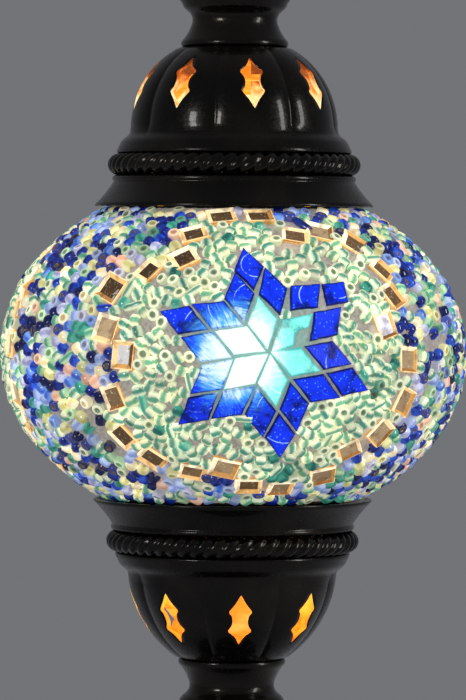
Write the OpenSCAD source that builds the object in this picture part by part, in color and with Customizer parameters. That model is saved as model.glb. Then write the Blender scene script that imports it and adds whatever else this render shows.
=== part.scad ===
// Mosaic glass table lamp: a beaded glass globe held between two pierced metal caps,
// on a turned stem and a lobed bell foot. Millimetres, +Z up, origin at the middle of
// the face that the lamp stands on. The front of the lamp is towards -Y.

/* [Globe] */
// Widest outer diameter of the blown glass
globe_d = 156.4; // [120:0.1:200]
// Height that the glass would have if its ends were not cut off
globe_h = 115; // [90:0.1:150]
// Wall of the glass
glass_t = 2.5; // [1.5:0.1:4]
// Outer diameter of the glass where each end is cut off
mouth_d = 80; // [60:1:96]

/* [Mosaic] */
// Height of the beads and chips above the glass, with the plaster under them
mosaic_t = 4; // [2.5:0.1:5]
// Thickness of the plaster coat alone
plaster_t = 1.4; // [0.4:0.1:2]
// Diameter, at the mosaic's face, where it ends under the collars
mosaic_edge_d = 88; // [70:1:110]
// Number of star medallions round the globe
medallions = 3; // [2:1:3]
// Turn of the first medallion away from the front
medallion_turn = 8.4; // [0:0.1:30]
// Height of a medallion's middle above the globe's widest line
medallion_rise = 2.5; // [-4:0.1:4]
// Side of one small rhombus of the star, gap included
rhombus_side = 11.8; // [8:0.1:12]
// Turn of the star in its medallion
star_turn = 10; // [0:1:30]
// Radius on the surface of the ring of bevelled chips
chip_ring_r = 55; // [50:0.5:58]
// Number of bevelled chips in one ring
chips = 25; // [16:1:27]
// Side of one bevelled chip
chip_side = 10; // [6:0.1:11]
// Gap between neighbouring pieces of glass
tile_gap = 1.1; // [0.6:0.1:2]
// Gap between the bevelled chips and the fields of beads
field_gap = 2.8; // [2.4:0.1:4]

/* [Caps] */
// Largest diameter of a cap's dome
cap_d = 73.8; // [68:0.1:90]
// Height of a cap's dome
cap_h = 31; // [24:0.1:40]
// Height of the plain band below a dome
band_h = 6.5; // [4:0.1:10]
// Thickness of the rope moulding
rope_d = 8.4; // [5:0.1:10]
// Outer diameter of the rope moulding on a cap
rope_ring_d = 89.4; // [84:0.1:100]
// Outer diameter of the collar's edge on the glass
collar_d = 98.6; // [92:0.1:112]
// Height from the cut end of the glass to the top of the collar
collar_h = 13.1; // [10:0.1:18]
// Wall of the cast and spun metal
wall = 1.6; // [1.2:0.1:2.4]
// Number of lobes, each with one pierced opening
lobes = 8; // [6:1:10]
// Height of a pierced opening
piercing_h = 17.7; // [12:0.1:20]
// Width of a pierced opening at its widest
piercing_w = 7.8; // [5:0.1:9]
// How much nearer the globe the openings of the lower cap are
lower_drop = 2.4; // [0:0.1:4]
// Turn of the upper cap about the lamp's axis
upper_turn = 11.2; // [0:0.1:45]
// Turn of the lower cap about the lamp's axis
lower_turn = 5; // [0:0.1:45]
// Thickness of the rubber seal at each end of the glass
seal_t = 2.2; // [1:0.1:3]

/* [Stem] */
// Diameter of the bead and flange at the ends of a neck
neck_d = 37.8; // [34:0.1:42]
// Diameter of a neck's waist
waist_d = 29.8; // [24:0.1:32]
// Height of a neck
neck_h = 21; // [16:0.5:28]
// Diameter of the knop between the foot and the globe
knop_d = 44; // [38:1:54]
// Height of the knop
knop_h = 24; // [18:1:34]
// Diameter of the hollow threaded rod
rod_d = 10; // [8:1:12]
// Bore of the hollow threaded rod
rod_bore = 8; // [6:0.5:9]
// Diameter of the stud that holds the upper cap
stud_d = 6; // [5:1:8]
// Height of the finial
finial_h = 44; // [36:1:60]
// Diameter of the finial's onion
finial_d = 25; // [20:1:32]

/* [Foot] */
// Diameter of the foot on the table
foot_d = 128; // [112:1:150]
// Height of the foot to the top of its bell
foot_h = 66; // [58:1:80]
// Largest diameter of the bell
bell_d = 96; // [88:1:104]
// Thickness of the foot's rope moulding
foot_rope_d = 9.2; // [7:0.1:11]
// Height of the foot's flared skirt
foot_skirt_h = 15; // [14:0.5:18]
// Thickness of the felt pad
felt_t = 2; // [1:0.5:4]
// Thickness of the plate that closes the foot
plate_t = 2; // [1.5:0.5:3]
// Bore of the bush that the mains lead enters by
inlet_bore = 7.2; // [5:0.1:8.4]

/* [Bulb] */
// Diameter of the bulb's globe
bulb_d = 45; // [35:1:45]
// Length of the bulb with its cap
bulb_l = 78; // [70:1:84]
// Diameter of the bulb's screw cap
bulb_cap_d = 13.8; // [13.6:0.1:14]

/* [Fits] */
// Radial clearance of a part that slides over its rod or stud
slip = 0.3; // [0.2:0.05:0.5]
// Radial clearance of a threaded part on its screw
thread_clearance = 0.06; // [0.05:0.01:0.1]
// Gap between the collar's edge and the face of the beads
collar_gap = 2.9; // [0.5:0.1:4]

/* [Hidden] */
$fn = 96;
fine = 0.01; // smallest air gap between pieces that are only laid together
skin_gap = 0.06; // gap between curved skins, more than the sag of their facets

// ellipses of the glass: outer face, and the offsets of each layer from it
globe_a = globe_d / 2;
globe_b = globe_h / 2;
mouth_r = mouth_d / 2;
rim_z = globe_b * sqrt(1 - pow(mouth_r / globe_a, 2));
bead_a = globe_a + mosaic_t;
bead_b = globe_b + mosaic_t;
profile_steps = 40;

// a cap's own heights, from the middle of the globe outwards
collar_edge_r = collar_d / 2;
collar_edge_z = bead_b * sqrt(1 - pow(collar_edge_r / bead_a, 2)) + collar_gap;
collar_top_z = rim_z + collar_h;
rope_flat = rope_d - 0.6;
band_z = collar_top_z + rope_flat;
dome_z = band_z + band_h;
cap_top_z = dome_z + cap_h;
rope_r = rope_ring_d / 2 - rope_d / 2;
collar_top_r = rope_r + 2.1;
sleeve_r = mouth_r - 2.8;
seal_in_r = sleeve_r - 2.6;
spigot_r = rope_r - rope_d / 2 - fine;
dome_power = 2.2;
neck_r = neck_d / 2;
apex_r = neck_r + 0.5;

// pierced opening: heights of its waist and wide places from its middle
piercing_z = cap_top_z - 4.5 - piercing_h / 2;
groove_turn = 360 / lobes / 2;
groove_angle = 2.2;
groove_depth = 0.7;

// heights up the lamp, from the table
foot_rope_flat = foot_rope_d - 0.6;
foot_lift = 1; // the skirt's edge stays clear of the table
skirt_top_z = foot_lift + foot_skirt_h;
foot_band_z = skirt_top_z + foot_rope_flat;
foot_dome_z = foot_band_z + 7;
bell_r = bell_d / 2;
foot_rope_out_r = bell_r + 8.6;
foot_rope_r = foot_rope_out_r - foot_rope_d / 2;
foot_r = foot_d / 2;
skirt_top_r = foot_rope_r + 2.4;
knop_z = foot_h + neck_h;
lower_neck_z = knop_z + knop_h;
globe_z = lower_neck_z + neck_h + cap_top_z;
finial_z = globe_z + cap_top_z + neck_h;

// hardware
nut_h = 5;
washer_t = 1.2;
rod_r = rod_d / 2;
rod_nut_af = 1.7 * rod_d;
stud_r = stud_d / 2;
stud_nut_af = 10 / 6 * stud_d;
foot_web_z = foot_h - wall;
rod_bottom_z = foot_web_z - washer_t - nut_h - 8;
cup_floor_z = globe_z - cap_top_z + wall;
cup_nut_z = cup_floor_z + washer_t;
yoke_z = cup_nut_z + nut_h;
strap_t = 2;
strap_w = 12;
holder_z = yoke_z + strap_t;
holder_h = 45;
holder_r = 14;
rod_top_z = holder_z + 8;

// yoke round the bulb: a long bent strap, as an outline with cut corners
yoke_half_w = bulb_d / 2 + 4.5;
yoke_foot_w = 15;
yoke_corner_h = 14;
yoke_top_z = globe_z + cap_top_z - wall - 8;
finial_washer_t = 1.5;
finial_washer_r = 9;
stud_engagement = 14;
stud_bottom_z = yoke_top_z - strap_t - nut_h - 2;
stud_top_z = finial_z + finial_washer_t + stud_engagement;

// bulb in its holder
shell_r = bulb_cap_d / 2 + 0.25;
insert_z = holder_z + 16;
insert_floor = 4;
contact_z = insert_z + insert_floor;
bulb_z = contact_z + 1.2;
bulb_cap_h = 19;
bulb_cap_z = bulb_z + 2;
bulb_ball_z = bulb_z + bulb_l - bulb_d / 2;

// inside the foot
plate_r = foot_r - 4.5;
plate_z = felt_t;
ballast_z = plate_z + plate_t;
ballast_h = 17;
ballast_out_r = bell_r - 5;
ballast_in_r = 34;
screws = 3;
screw_circle_r = 39;
screw_r = 2;
bush_r = inlet_bore / 2 + 1;
inlet_z = ballast_z + bush_r + 0.2;
block_size = [22, 12, 13];
block_y = 18;
block_z = ballast_z;

// the two insulated leads, as their route at the left and at the right of the rod's bore
lead_r = 1.1;
lead_sides = 8;
lead_x = 1.7;
lead_route = [
    [0, block_y, block_z + 13.4], [0, block_y, block_z + 16], [0, block_y - 1, block_z + 20],
    [0, block_y - 4, block_z + 24], [0, 10, block_z + 29], [0, 6, block_z + 33],
    [0, 2.6, block_z + 38], [0, 0.8, block_z + 43], [0, 0, block_z + 48],
    [0, 0, rod_bottom_z + 20], [0, 0, globe_z - cap_top_z], [0, 0, insert_z - 0.2]
];

metal = [0.09, 0.075, 0.06];
steel = [0.62, 0.62, 0.64];
brass = [0.72, 0.55, 0.25];

// ---------------------------------------------------------------- surface of the globe

// length along the meridian from the equator to the angle t, on an ellipse a by b
function arc(a, b, t, n = 12) =
    let (step = t / n)
    step * PI / 180 * sum([for (i = [0.5:1:n]) norm([a * sin(i * step), b * cos(i * step)])]);
function sum(v, i = 0) = i < len(v) ? v[i] + sum(v, i + 1) : 0;

// angle t whose arc is s, by stepping towards it
function arc_angle(a, b, s, t = 0, tries = 6) = tries == 0 ? t :
    arc_angle(a, b, s,
        t + (s - arc(a, b, t)) / norm([a * sin(t), b * cos(t)]) * 180 / PI, tries - 1);

// [turn about the axis, ellipse angle] of a place u across and v up a medallion
function place(u, v) =
    let (t = arc_angle(bead_a, bead_b, v + medallion_rise))
    [u / (bead_a * cos(t)) * 180 / PI, t];

// the same place seen straight from the front: x across and z up
function seen(u, v) =
    let (p = place(u, v))
    [bead_a * cos(p[1]) * sin(p[0]), bead_b * sin(p[1])];

function ring_outline(r, n = 48) = [for (i = [0:n - 1]) seen(r * cos(i * 360 / n), r * sin(i * 360 / n))];

// sets its children flat on the layer at height lift, with +Z outwards and +Y up
module on_globe(u, v, lift) {
    p = place(u, v);
    a = globe_a + lift;
    b = globe_b + lift;
    normal_tilt = atan2(sin(p[1]) / b, cos(p[1]) / a);
    rotate([0, 0, p[0]])
        translate([0, -a * cos(p[1]), b * sin(p[1])])
            rotate([90 - normal_tilt, 0, 0]) children();
}

// a closed band of the globe between two offsets, cut off level at z_end
module level_shell(low, high, z_end) {
    inner = asin(z_end / (globe_b + low));
    outer = asin(z_end / (globe_b + high));
    rotate_extrude() polygon(concat(
        ellipse_points(globe_a + high, globe_b + high, -outer, outer),
        ellipse_points(globe_a + low, globe_b + low, inner, -inner)));
}

// the same, cut off upright at the radius r_end
module upright_shell(low, high, r_end) {
    inner = acos(r_end / (globe_a + low));
    outer = acos(r_end / (globe_a + high));
    rotate_extrude() polygon(concat(
        ellipse_points(globe_a + high, globe_b + high, -outer, outer),
        ellipse_points(globe_a + low, globe_b + low, inner, -inner)));
}

function ellipse_points(a, b, t0, t1) =
    [for (i = [0:profile_steps]) let (t = t0 + (t1 - t0) * i / profile_steps) [a * cos(t), b * sin(t)]];

// a solid that stands on an outline seen from the front, reaching out of the globe
module medallion_prism(outline) {
    rotate([90, 0, 0]) linear_extrude(height = bead_a + 10) polygon(outline);
}

module each_medallion() {
    for (i = [0:medallions - 1])
        rotate([0, 0, medallion_turn + i * 360 / medallions]) children();
}

// ---------------------------------------------------------------- mosaic

tile_t = mosaic_t - plaster_t - 0.1;
tile_lift = plaster_t + 0.05;
tile_inset = tile_gap / 2;
star_reach = 2 * rhombus_side * 2 * cos(30);

module globe_glass() {
    color([0.85, 0.9, 0.9, 0.4]) level_shell(-glass_t, 0, rim_z);
}

module plaster_coat() {
    color([0.55, 0.53, 0.5]) upright_shell(skin_gap, plaster_t, mouth_r + 2);
}

// a rhombus with a 60 degree corner pointing along +Y, its gap taken off all round
module rhombus_tile(side) {
    half_long = (side - tile_inset / sin(60) * 2) * cos(30);
    half_wide = (side - tile_inset / sin(60) * 2) * sin(30);
    linear_extrude(height = tile_t)
        polygon([[0, -half_long], [half_wide, 0], [0, half_long], [-half_wide, 0]]);
}

// one small rhombus of the star: step_a and step_b count rhombi along the point's two sides
module star_rhombus(point, step_a, step_b) {
    turn = star_turn + point * 60 + 90;
    a = (step_a + 0.5) * rhombus_side;
    b = (step_b + 0.5) * rhombus_side;
    u = a * cos(turn + 30) + b * cos(turn - 30);
    v = a * sin(turn + 30) + b * sin(turn - 30);
    on_globe(u, v, tile_lift) rotate([0, 0, turn - 90]) rhombus_tile(rhombus_side);
}

module star_tiles_turquoise() {
    color([0.2, 0.85, 0.85, 0.8]) each_medallion()
        for (point = [0:5]) star_rhombus(point, 0, 0);
}

module star_tiles_cobalt() {
    color([0.02, 0.1, 0.75, 0.9]) each_medallion()
        for (point = [0:5], step = [[0, 1], [1, 0], [1, 1]]) star_rhombus(point, step[0], step[1]);
}

module bevelled_chips() {
    color([0.85, 0.65, 0.35, 0.9]) each_medallion()
        for (i = [0:chips - 1]) {
            turn = i * 360 / chips;
            on_globe(chip_ring_r * cos(turn), chip_ring_r * sin(turn), tile_lift)
                rotate([0, 0, turn])
                    translate([-chip_side / 2, -chip_side / 2, 0]) cube([chip_side, chip_side, tile_t]);
        }
}

// the star's outline with a margin, point by point
function star_outline(margin) = [for (i = [0:11])
    let (turn = star_turn + 90 + i * 30, r = i % 2 == 0 ? star_reach + margin * 2
        : star_reach / sqrt(3) + margin)
    seen(r * cos(turn), r * sin(turn))];

module bead_field_medallions() {
    inner_r = chip_ring_r - chip_side / 2 - field_gap;
    color([0.55, 0.8, 0.65]) intersection() {
        upright_shell(plaster_t + skin_gap, mosaic_t, mosaic_edge_d / 2);
        each_medallion() difference() {
            medallion_prism(ring_outline(inner_r));
            medallion_prism(star_outline(tile_gap));
        }
    }
}

module bead_field_ground() {
    outer_r = chip_ring_r + chip_side / 2 + field_gap;
    color([0.15, 0.25, 0.6]) difference() {
        upright_shell(plaster_t + skin_gap, mosaic_t, mosaic_edge_d / 2);
        each_medallion() medallion_prism(ring_outline(outer_r));
    }
}

// ---------------------------------------------------------------- caps

// radius of a dome of radius r, height h and top radius top, at the height z
function dome_r(r, h, top, z) =
    let (full = h / pow(1 - pow(top / r, dome_power), 1 / dome_power))
    r * pow(1 - pow(z / full, dome_power), 1 / dome_power);
function dome_points(r, h, top, n = 14) =
    [for (i = [0:n]) let (z = h * sin(90 * i / n)) [dome_r(r, h, top, z), z]];

// hollow dome with a plain band under it, a spigot that centres the rope, and an open foot
module dome_shell(r, h, top, band, spigot, spigot_h, hole) {
    outside = dome_points(r, h, top);
    inside = dome_points(r - wall, h - wall, top - wall);
    rotate_extrude() difference() {
        union() {
            polygon(concat([[0, 0]], outside, [[0, h]]));
            translate([0, -band]) polygon([[0, 0], [r + 4.2, 0], [r + 3.6, band * 0.35],
                [r + 1.2, band * 0.8], [r, band], [0, band]]);
            translate([0, -band - spigot_h]) square([spigot, spigot_h + 1]);
        }
        polygon(concat([[-1, -1], [r - wall, -1]], inside, [[-1, h - wall]]));
        translate([-1, -band - spigot_h - 1]) square([spigot - wall + 1, band + spigot_h + 2]);
        translate([-1, 0]) square([hole + 1, h + 1]);
    }
}

// shallow upright grooves between the lobes of a dome
module lobe_grooves(r, h, top) {
    inner = [for (p = dome_points(r, h, top)) [max(p[0] - groove_depth, 1), p[1]]];
    outer = [for (i = [len(inner) - 1:-1:0]) [inner[i][0] + 4, inner[i][1]]];
    low = [[r - groove_depth, 0.6]];
    for (i = [0:lobes - 1])
        rotate([0, 0, i * 360 / lobes + groove_turn - 90 - groove_angle / 2])
            rotate_extrude(angle = groove_angle)
                polygon(concat(low, [for (p = inner) if (p[1] > 0.6 && p[1] < h - 2) p],
                    [for (p = outer) if (p[1] > 0.6 && p[1] < h - 2) p], [[r + 4, 0.6]]));
}

// the pierced opening: two pointed leaves joined at a waist, as half widths up its height
function piercing_outline() =
    let (h = piercing_h / 2, w = piercing_w / 2,
        right = [[0, -h], [0.22 * w, -0.8 * h], [0.55 * w, -0.58 * h], [w, -0.3 * h],
            [0.72 * w, -0.1 * h], [0.58 * w, 0.1 * h], [0.68 * w, 0.3 * h], [0.94 * w, 0.52 * h],
            [0.5 * w, 0.68 * h], [0.2 * w, 0.84 * h], [0, h]])
    concat(right, [for (i = [len(right) - 2:-1:1]) [-right[i][0], right[i][1]]]);

module piercings(drop) {
    for (i = [0:lobes - 1])
        rotate([0, 0, i * 360 / lobes])
            translate([0, -apex_r + 6, piercing_z - drop]) rotate([90, 0, 0])
                linear_extrude(height = cap_d) polygon(piercing_outline());
}

// a pierced cap, apex up, with the globe's middle at its origin
module pierced_cap(turn, hole, drop) {
    color(metal) rotate([0, 0, turn]) difference() {
        translate([0, 0, dome_z])
            dome_shell(cap_d / 2, cap_h, apex_r, band_h, spigot_r, rope_flat - fine, hole);
        piercings(drop);
        translate([0, 0, dome_z]) lobe_grooves(cap_d / 2, cap_h, apex_r);
    }
}

// plain blank of a rope moulding, with flats where it is clamped
module rope_blank(ring_r, size, flat) {
    color(metal) rotate_extrude() translate([ring_r, flat / 2]) intersection() {
        circle(d = size);
        square([size + 1, flat - 2 * fine], center = true);
    }
}

// flared collar that holds the end of the glass: outer skirt, top web and inner sleeve
module collar() {
    n = 8;
    reach = collar_top_z - collar_edge_z;
    skirt = [for (i = [0:n]) let (s = i / n)
        [collar_top_r + (collar_edge_r - collar_top_r) * pow(1 - s, 1.2), collar_edge_z + reach * s]];
    color(metal) rotate_extrude() union() {
        polygon(concat(skirt, [for (i = [n:-1:0]) skirt[i] - [wall * 0.8, 0]]));
        translate([sleeve_r, collar_top_z - wall]) square([collar_top_r - sleeve_r, wall]);
        translate([sleeve_r, rim_z + seal_t]) square([wall, collar_top_z - rim_z - seal_t]);
    }
}

module seal() {
    color([0.1, 0.1, 0.1]) rotate_extrude()
        translate([seal_in_r, rim_z]) square([mouth_r - seal_in_r, seal_t - fine]);
}

// ---------------------------------------------------------------- stem

// turned neck: a bead at the bottom, a hollow waist, and a flange at the top
module neck(bore) {
    bead_h = 0.19 * neck_h;
    flange_h = 0.16 * neck_h;
    waist_z = 0.55 * neck_h;
    n = 8;
    lower = [for (i = [0:n]) let (s = i / n)
        [waist_d / 2 + (neck_r - waist_d / 2) * pow(1 - s, 1.4), bead_h + (waist_z - bead_h) * s]];
    upper = [for (i = [1:n]) let (s = i / n)
        [waist_d / 2 + (neck_r - waist_d / 2) * pow(s, 2.2),
            waist_z + (neck_h - flange_h - waist_z) * s]];
    color(metal) difference() {
        rotate_extrude() union() {
            polygon(concat([[0, bead_h]], lower, upper, [[0, neck_h - flange_h]]));
            rounded_disc(neck_r, 0, bead_h);
            rounded_disc(neck_r + 0.7, neck_h - flange_h, flange_h);
        }
        translate([0, 0, -1]) cylinder(r = bore, h = neck_h + 2);
    }
}

// half profile of a disc with a rounded rim
module rounded_disc(r, z, h) {
    translate([0, z]) square([r - h / 2, h]);
    translate([r - h / 2, z + h / 2]) circle(d = h, $fn = 32);
}

module knop() {
    n = 16;
    end_r = neck_r * 0.72;
    color(metal) difference() {
        rotate_extrude() polygon(concat([[0, 0]],
            [for (i = [0:n]) let (s = 2 * i / n - 1)
                [end_r + (knop_d / 2 - end_r) * sqrt(1 - pow(s, 2)), knop_h * i / n]],
            [[0, knop_h]]));
        translate([0, 0, -1]) cylinder(r = rod_r + slip, h = knop_h + 2);
    }
}

// radius of the finial's onion at the share s of its height: a round belly drawn up to a point
function onion_r(s) =
    let (foot = finial_d * 0.19, tip = 2.2, belly = 0.4)
    s < belly ? foot + (finial_d / 2 - foot) * sin(90 * s / belly)
        : tip + (finial_d / 2 - tip) * pow(cos(90 * (s - belly) / (1 - belly)), 1.25);

module finial() {
    base_r = finial_d * 0.36;
    onion_z = finial_h * 0.2;
    onion_h = finial_h * 0.52;
    n = 15;
    onion = [for (i = [0:n]) [onion_r(i / n), onion_z + onion_h * i / n]];
    color(metal) translate([0, 0, finial_z + finial_washer_t]) difference() {
        rotate_extrude() union() {
            polygon(concat([[0, 0], [base_r, 0], [base_r, finial_h * 0.06],
                [finial_d * 0.26, finial_h * 0.1], [finial_d * 0.19, finial_h * 0.16]],
                onion, [[0, onion_z + onion_h]]));
            translate([0, onion_z + onion_h * 0.98]) polygon([[0, 0], [2.2, 0],
                [1.9, finial_h * 0.05], [1.2, finial_h * 0.18], [0, finial_h * 0.29]]);
        }
        translate([0, 0, -1]) cylinder(r = stud_r + thread_clearance, h = stud_engagement + 2);
    }
}

module finial_washer() {
    color(brass) translate([0, 0, finial_z]) difference() {
        cylinder(r = finial_washer_r, h = finial_washer_t - fine);
        translate([0, 0, -1]) cylinder(r = stud_r + slip, h = finial_washer_t + 2);
    }
}

module threaded_rod() {
    color(steel) translate([0, 0, rod_bottom_z]) difference() {
        cylinder(r = rod_r, h = rod_top_z - rod_bottom_z);
        translate([0, 0, -1]) cylinder(r = rod_bore / 2, h = rod_top_z - rod_bottom_z + 2);
    }
}

module hex_nut(z, af, bore) {
    color(steel) translate([0, 0, z]) difference() {
        cylinder(d = af / cos(30), h = nut_h - fine, $fn = 6);
        translate([0, 0, -1]) cylinder(r = bore + thread_clearance, h = nut_h + 2);
    }
}

module washer(z, r, bore) {
    color(steel) translate([0, 0, z]) difference() {
        cylinder(r = r, h = washer_t - fine);
        translate([0, 0, -1]) cylinder(r = bore + slip, h = washer_t + 2);
    }
}

// ---------------------------------------------------------------- bulb and holder

function yoke_outline(inset) =
    let (w = yoke_half_w - inset, foot = yoke_foot_w - inset * 0.4,
        low = yoke_z + inset, high = yoke_top_z - inset, c = yoke_corner_h)
    [[-foot, low], [foot, low], [w, low + c - inset], [w, high - c + inset], [foot, high],
        [-foot, high], [-w, high - c + inset], [-w, low + c - inset]];

module bulb_yoke() {
    color(steel) difference() {
        rotate([90, 0, 0]) translate([0, 0, -strap_w / 2]) linear_extrude(height = strap_w)
            difference() {
                polygon(yoke_outline(0));
                polygon(yoke_outline(strap_t));
            }
        translate([0, 0, yoke_z - 1]) cylinder(r = rod_r + slip, h = strap_t + 2);
        translate([0, 0, yoke_top_z - strap_t - 1]) cylinder(r = stud_r + slip, h = strap_t + 2);
    }
}

module cap_stud() {
    color(steel) translate([0, 0, stud_bottom_z])
        cylinder(r = stud_r, h = stud_top_z - stud_bottom_z);
}

module stud_nuts() {
    hex_nut(yoke_top_z - strap_t - nut_h, stud_nut_af, stud_r);
    hex_nut(yoke_top_z + fine, stud_nut_af, stud_r);
}

module holder_body() {
    floor_h = 10;
    color([0.06, 0.06, 0.06]) translate([0, 0, holder_z]) difference() {
        rotate_extrude() polygon([[0, fine], [holder_r - 3, fine], [holder_r, 4],
            [holder_r, holder_h - 1], [holder_r - 1, holder_h], [0, holder_h]]);
        translate([0, 0, floor_h]) cylinder(r = holder_r - 2, h = holder_h);
        translate([0, 0, -1]) cylinder(r = rod_r + thread_clearance, h = floor_h + 2);
    }
}

module holder_insert() {
    insert_h = holder_z + holder_h - insert_z - 1;
    color([0.9, 0.88, 0.82]) translate([0, 0, insert_z]) difference() {
        cylinder(r = holder_r - 2 - 0.1, h = insert_h);
        translate([0, 0, insert_floor]) cylinder(r = shell_r + 0.8, h = insert_h);
    }
}

module holder_shell() {
    color(brass) translate([0, 0, contact_z + fine]) difference() {
        cylinder(r = shell_r + 0.7, h = bulb_cap_h + 1);
        translate([0, 0, -1]) cylinder(r = shell_r, h = bulb_cap_h + 3);
    }
}

module holder_contact() {
    color(brass) translate([0, 0, contact_z + fine]) cylinder(r = 3, h = 0.9);
}

// screw cap of the bulb, its thread drawn as rounded turns
module bulb_cap() {
    pitch = 2.82;
    r = bulb_cap_d / 2;
    turns = 5;
    n = 8;
    wave = [for (i = [0:turns * n]) [r - 0.45 + 0.45 * cos(360 * i / n), pitch * i / n]];
    color(brass) translate([0, 0, bulb_cap_z]) rotate_extrude()
        polygon(concat([[0, 0]], wave, [[r, bulb_cap_h], [0, bulb_cap_h]]));
}

module bulb_insulator() {
    color([0.08, 0.08, 0.1]) translate([0, 0, bulb_z + 0.8]) difference() {
        cylinder(r1 = 3.6, r2 = bulb_cap_d / 2 - 0.9, h = bulb_cap_z - bulb_z - 0.8 - fine);
        translate([0, 0, -1]) cylinder(r = 2.5, h = 4);
    }
}

module bulb_contact() {
    color(steel) translate([0, 0, bulb_z]) cylinder(r = 2.4, h = bulb_cap_z - bulb_z - fine);
}

module bulb_glass() {
    r = bulb_d / 2;
    neck_z = bulb_cap_z + bulb_cap_h + fine;
    neck_half = bulb_cap_d / 2 - 0.4;
    drop = bulb_ball_z - neck_z;
    meet = 52;
    n = 18;
    outer = concat([[neck_half, -drop], [neck_half + 0.6, -drop + 4]],
        [for (i = [0:n]) let (t = -meet + (90 + meet) * i / n) [r * cos(t), r * sin(t)]]);
    inner = concat([for (i = [n:-1:0]) let (t = -meet + (90 + meet) * i / n)
        [(r - 0.8) * cos(t), (r - 0.8) * sin(t)]],
        [[neck_half - 0.2, -drop + 4], [neck_half - 0.8, -drop]]);
    color([0.95, 0.95, 0.9, 0.4]) translate([0, 0, bulb_ball_z])
        rotate_extrude() polygon(concat(outer, inner));
}

// glass stem with its upright glowing filaments
module bulb_filaments() {
    stem_z = bulb_cap_z + bulb_cap_h + 2 * fine;
    count = 4;
    color([1, 0.8, 0.4]) {
        translate([0, 0, stem_z]) cylinder(r1 = 4, r2 = 2, h = bulb_ball_z - stem_z - 8);
        for (i = [0:count - 1]) rotate([0, 0, 360 * i / count + 45])
            translate([1.5, 0, bulb_ball_z - 9]) cylinder(r = 0.8, h = 22);
        translate([0, 0, bulb_ball_z - 9]) cylinder(r = 2.6, h = 1);
        translate([0, 0, bulb_ball_z + 12]) cylinder(r = 2.6, h = 1);
    }
}

// an insulated lead swept along its route: rings of points, joined by quads and closed at its ends
module lead(side) {
    path = [for (p = lead_route) p + [side * lead_x, 0, 0]];
    last = len(path) - 1;
    along = [for (i = [0:last]) unit(path[min(i + 1, last)] - path[max(i - 1, 0)])];
    points = [for (i = [0:last], k = [0:lead_sides - 1])
        let (turn = 360 * k / lead_sides, across = unit(cross(along[i], [1, 0, 0])))
        path[i] + lead_r * (cos(turn) * [1, 0, 0] + sin(turn) * across)];
    sides = [for (i = [0:last - 1], k = [0:lead_sides - 1])
        let (next = (k + 1) % lead_sides)
        [i * lead_sides + k, (i + 1) * lead_sides + k, (i + 1) * lead_sides + next,
            i * lead_sides + next]];
    ends = [[for (k = [0:lead_sides - 1]) k],
        [for (k = [lead_sides - 1:-1:0]) last * lead_sides + k]];
    polyhedron(points, concat(sides, ends), convexity = 6);
}
function unit(v) = v / norm(v);

// ---------------------------------------------------------------- foot

module felt_pad() {
    color([0.05, 0.2, 0.12]) difference() {
        cylinder(r = plate_r - 2, h = felt_t - fine);
        screw_holes(felt_t, 5);
    }
}

module screw_holes(h, r) {
    for (i = [0:screws - 1]) rotate([0, 0, i * 360 / screws + 30])
        translate([screw_circle_r, 0, -1]) cylinder(r = r, h = h + 2);
}

module base_plate() {
    color(steel) translate([0, 0, plate_z]) difference() {
        cylinder(r = plate_r, h = plate_t - fine);
        screw_holes(plate_t, screw_r + slip);
    }
}

module base_screws() {
    head_h = 1.6;
    color(steel) for (i = [0:screws - 1]) rotate([0, 0, i * 360 / screws + 30])
        translate([screw_circle_r, 0, plate_z - head_h]) {
            cylinder(r = screw_r * 2, h = head_h - fine);
            cylinder(r = screw_r, h = head_h + plate_t + 10);
        }
}

module ballast_ring() {
    color([0.2, 0.2, 0.21]) translate([0, 0, ballast_z]) difference() {
        cylinder(r = ballast_out_r, h = ballast_h);
        translate([0, 0, -1]) cylinder(r = ballast_in_r, h = ballast_h + 2);
        screw_holes(ballast_h, screw_r + thread_clearance);
        translate([-9, ballast_in_r - 4, -1]) cube([18, 20, ballast_h + 2]);
    }
}

module foot_skirt() {
    n = 8;
    skirt = [for (i = [0:n]) let (s = i / n)
        [skirt_top_r + (foot_r - skirt_top_r) * pow(1 - s, 1.3), foot_lift + foot_skirt_h * s]];
    color(metal) difference() {
        rotate_extrude() union() {
            polygon(concat(skirt, [for (i = [n:-1:0]) skirt[i] - [wall, 0]]));
            translate([foot_rope_r - foot_rope_d / 2 - wall, skirt_top_z - wall])
                square([skirt_top_r - foot_rope_r + foot_rope_d / 2 + wall * 0.9, wall]);
        }
        translate([0, foot_r - 20, inlet_z]) rotate([-90, 0, 0]) cylinder(r = bush_r + 0.05, h = 40);
    }
}

// rubber bush in the back of the skirt, where the mains lead enters
module cord_bush() {
    out_y = skirt_r(inlet_z) + 3;
    in_y = skirt_r(inlet_z + bush_r) - wall - 2.5;
    color([0.05, 0.05, 0.05]) translate([0, in_y, inlet_z]) rotate([-90, 0, 0]) difference() {
        cylinder(r = bush_r, h = out_y - in_y);
        translate([0, 0, -1]) cylinder(r = inlet_bore / 2, h = out_y - in_y + 2);
    }
}
function skirt_r(z) =
    skirt_top_r + (foot_r - skirt_top_r) * pow(1 - (z - foot_lift) / foot_skirt_h, 1.3);

module foot_bell() {
    bell_h = foot_h - foot_dome_z;
    color(metal) translate([0, 0, foot_dome_z]) difference() {
        dome_shell(bell_r, bell_h, apex_r, foot_dome_z - foot_band_z,
            foot_rope_r - foot_rope_d / 2 - fine, foot_rope_flat - fine, rod_r + slip);
        lobe_grooves(bell_r, bell_h, apex_r);
    }
}

module terminal_block() {
    color([0.92, 0.92, 0.88]) translate([0, block_y, block_z]) difference() {
        translate([-block_size[0] / 2, -block_size[1] / 2, fine]) cube(block_size);
        for (side = [-1, 1]) translate([side * 6, 3, 5]) cylinder(r = 2.1, h = 20);
    }
}

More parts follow.
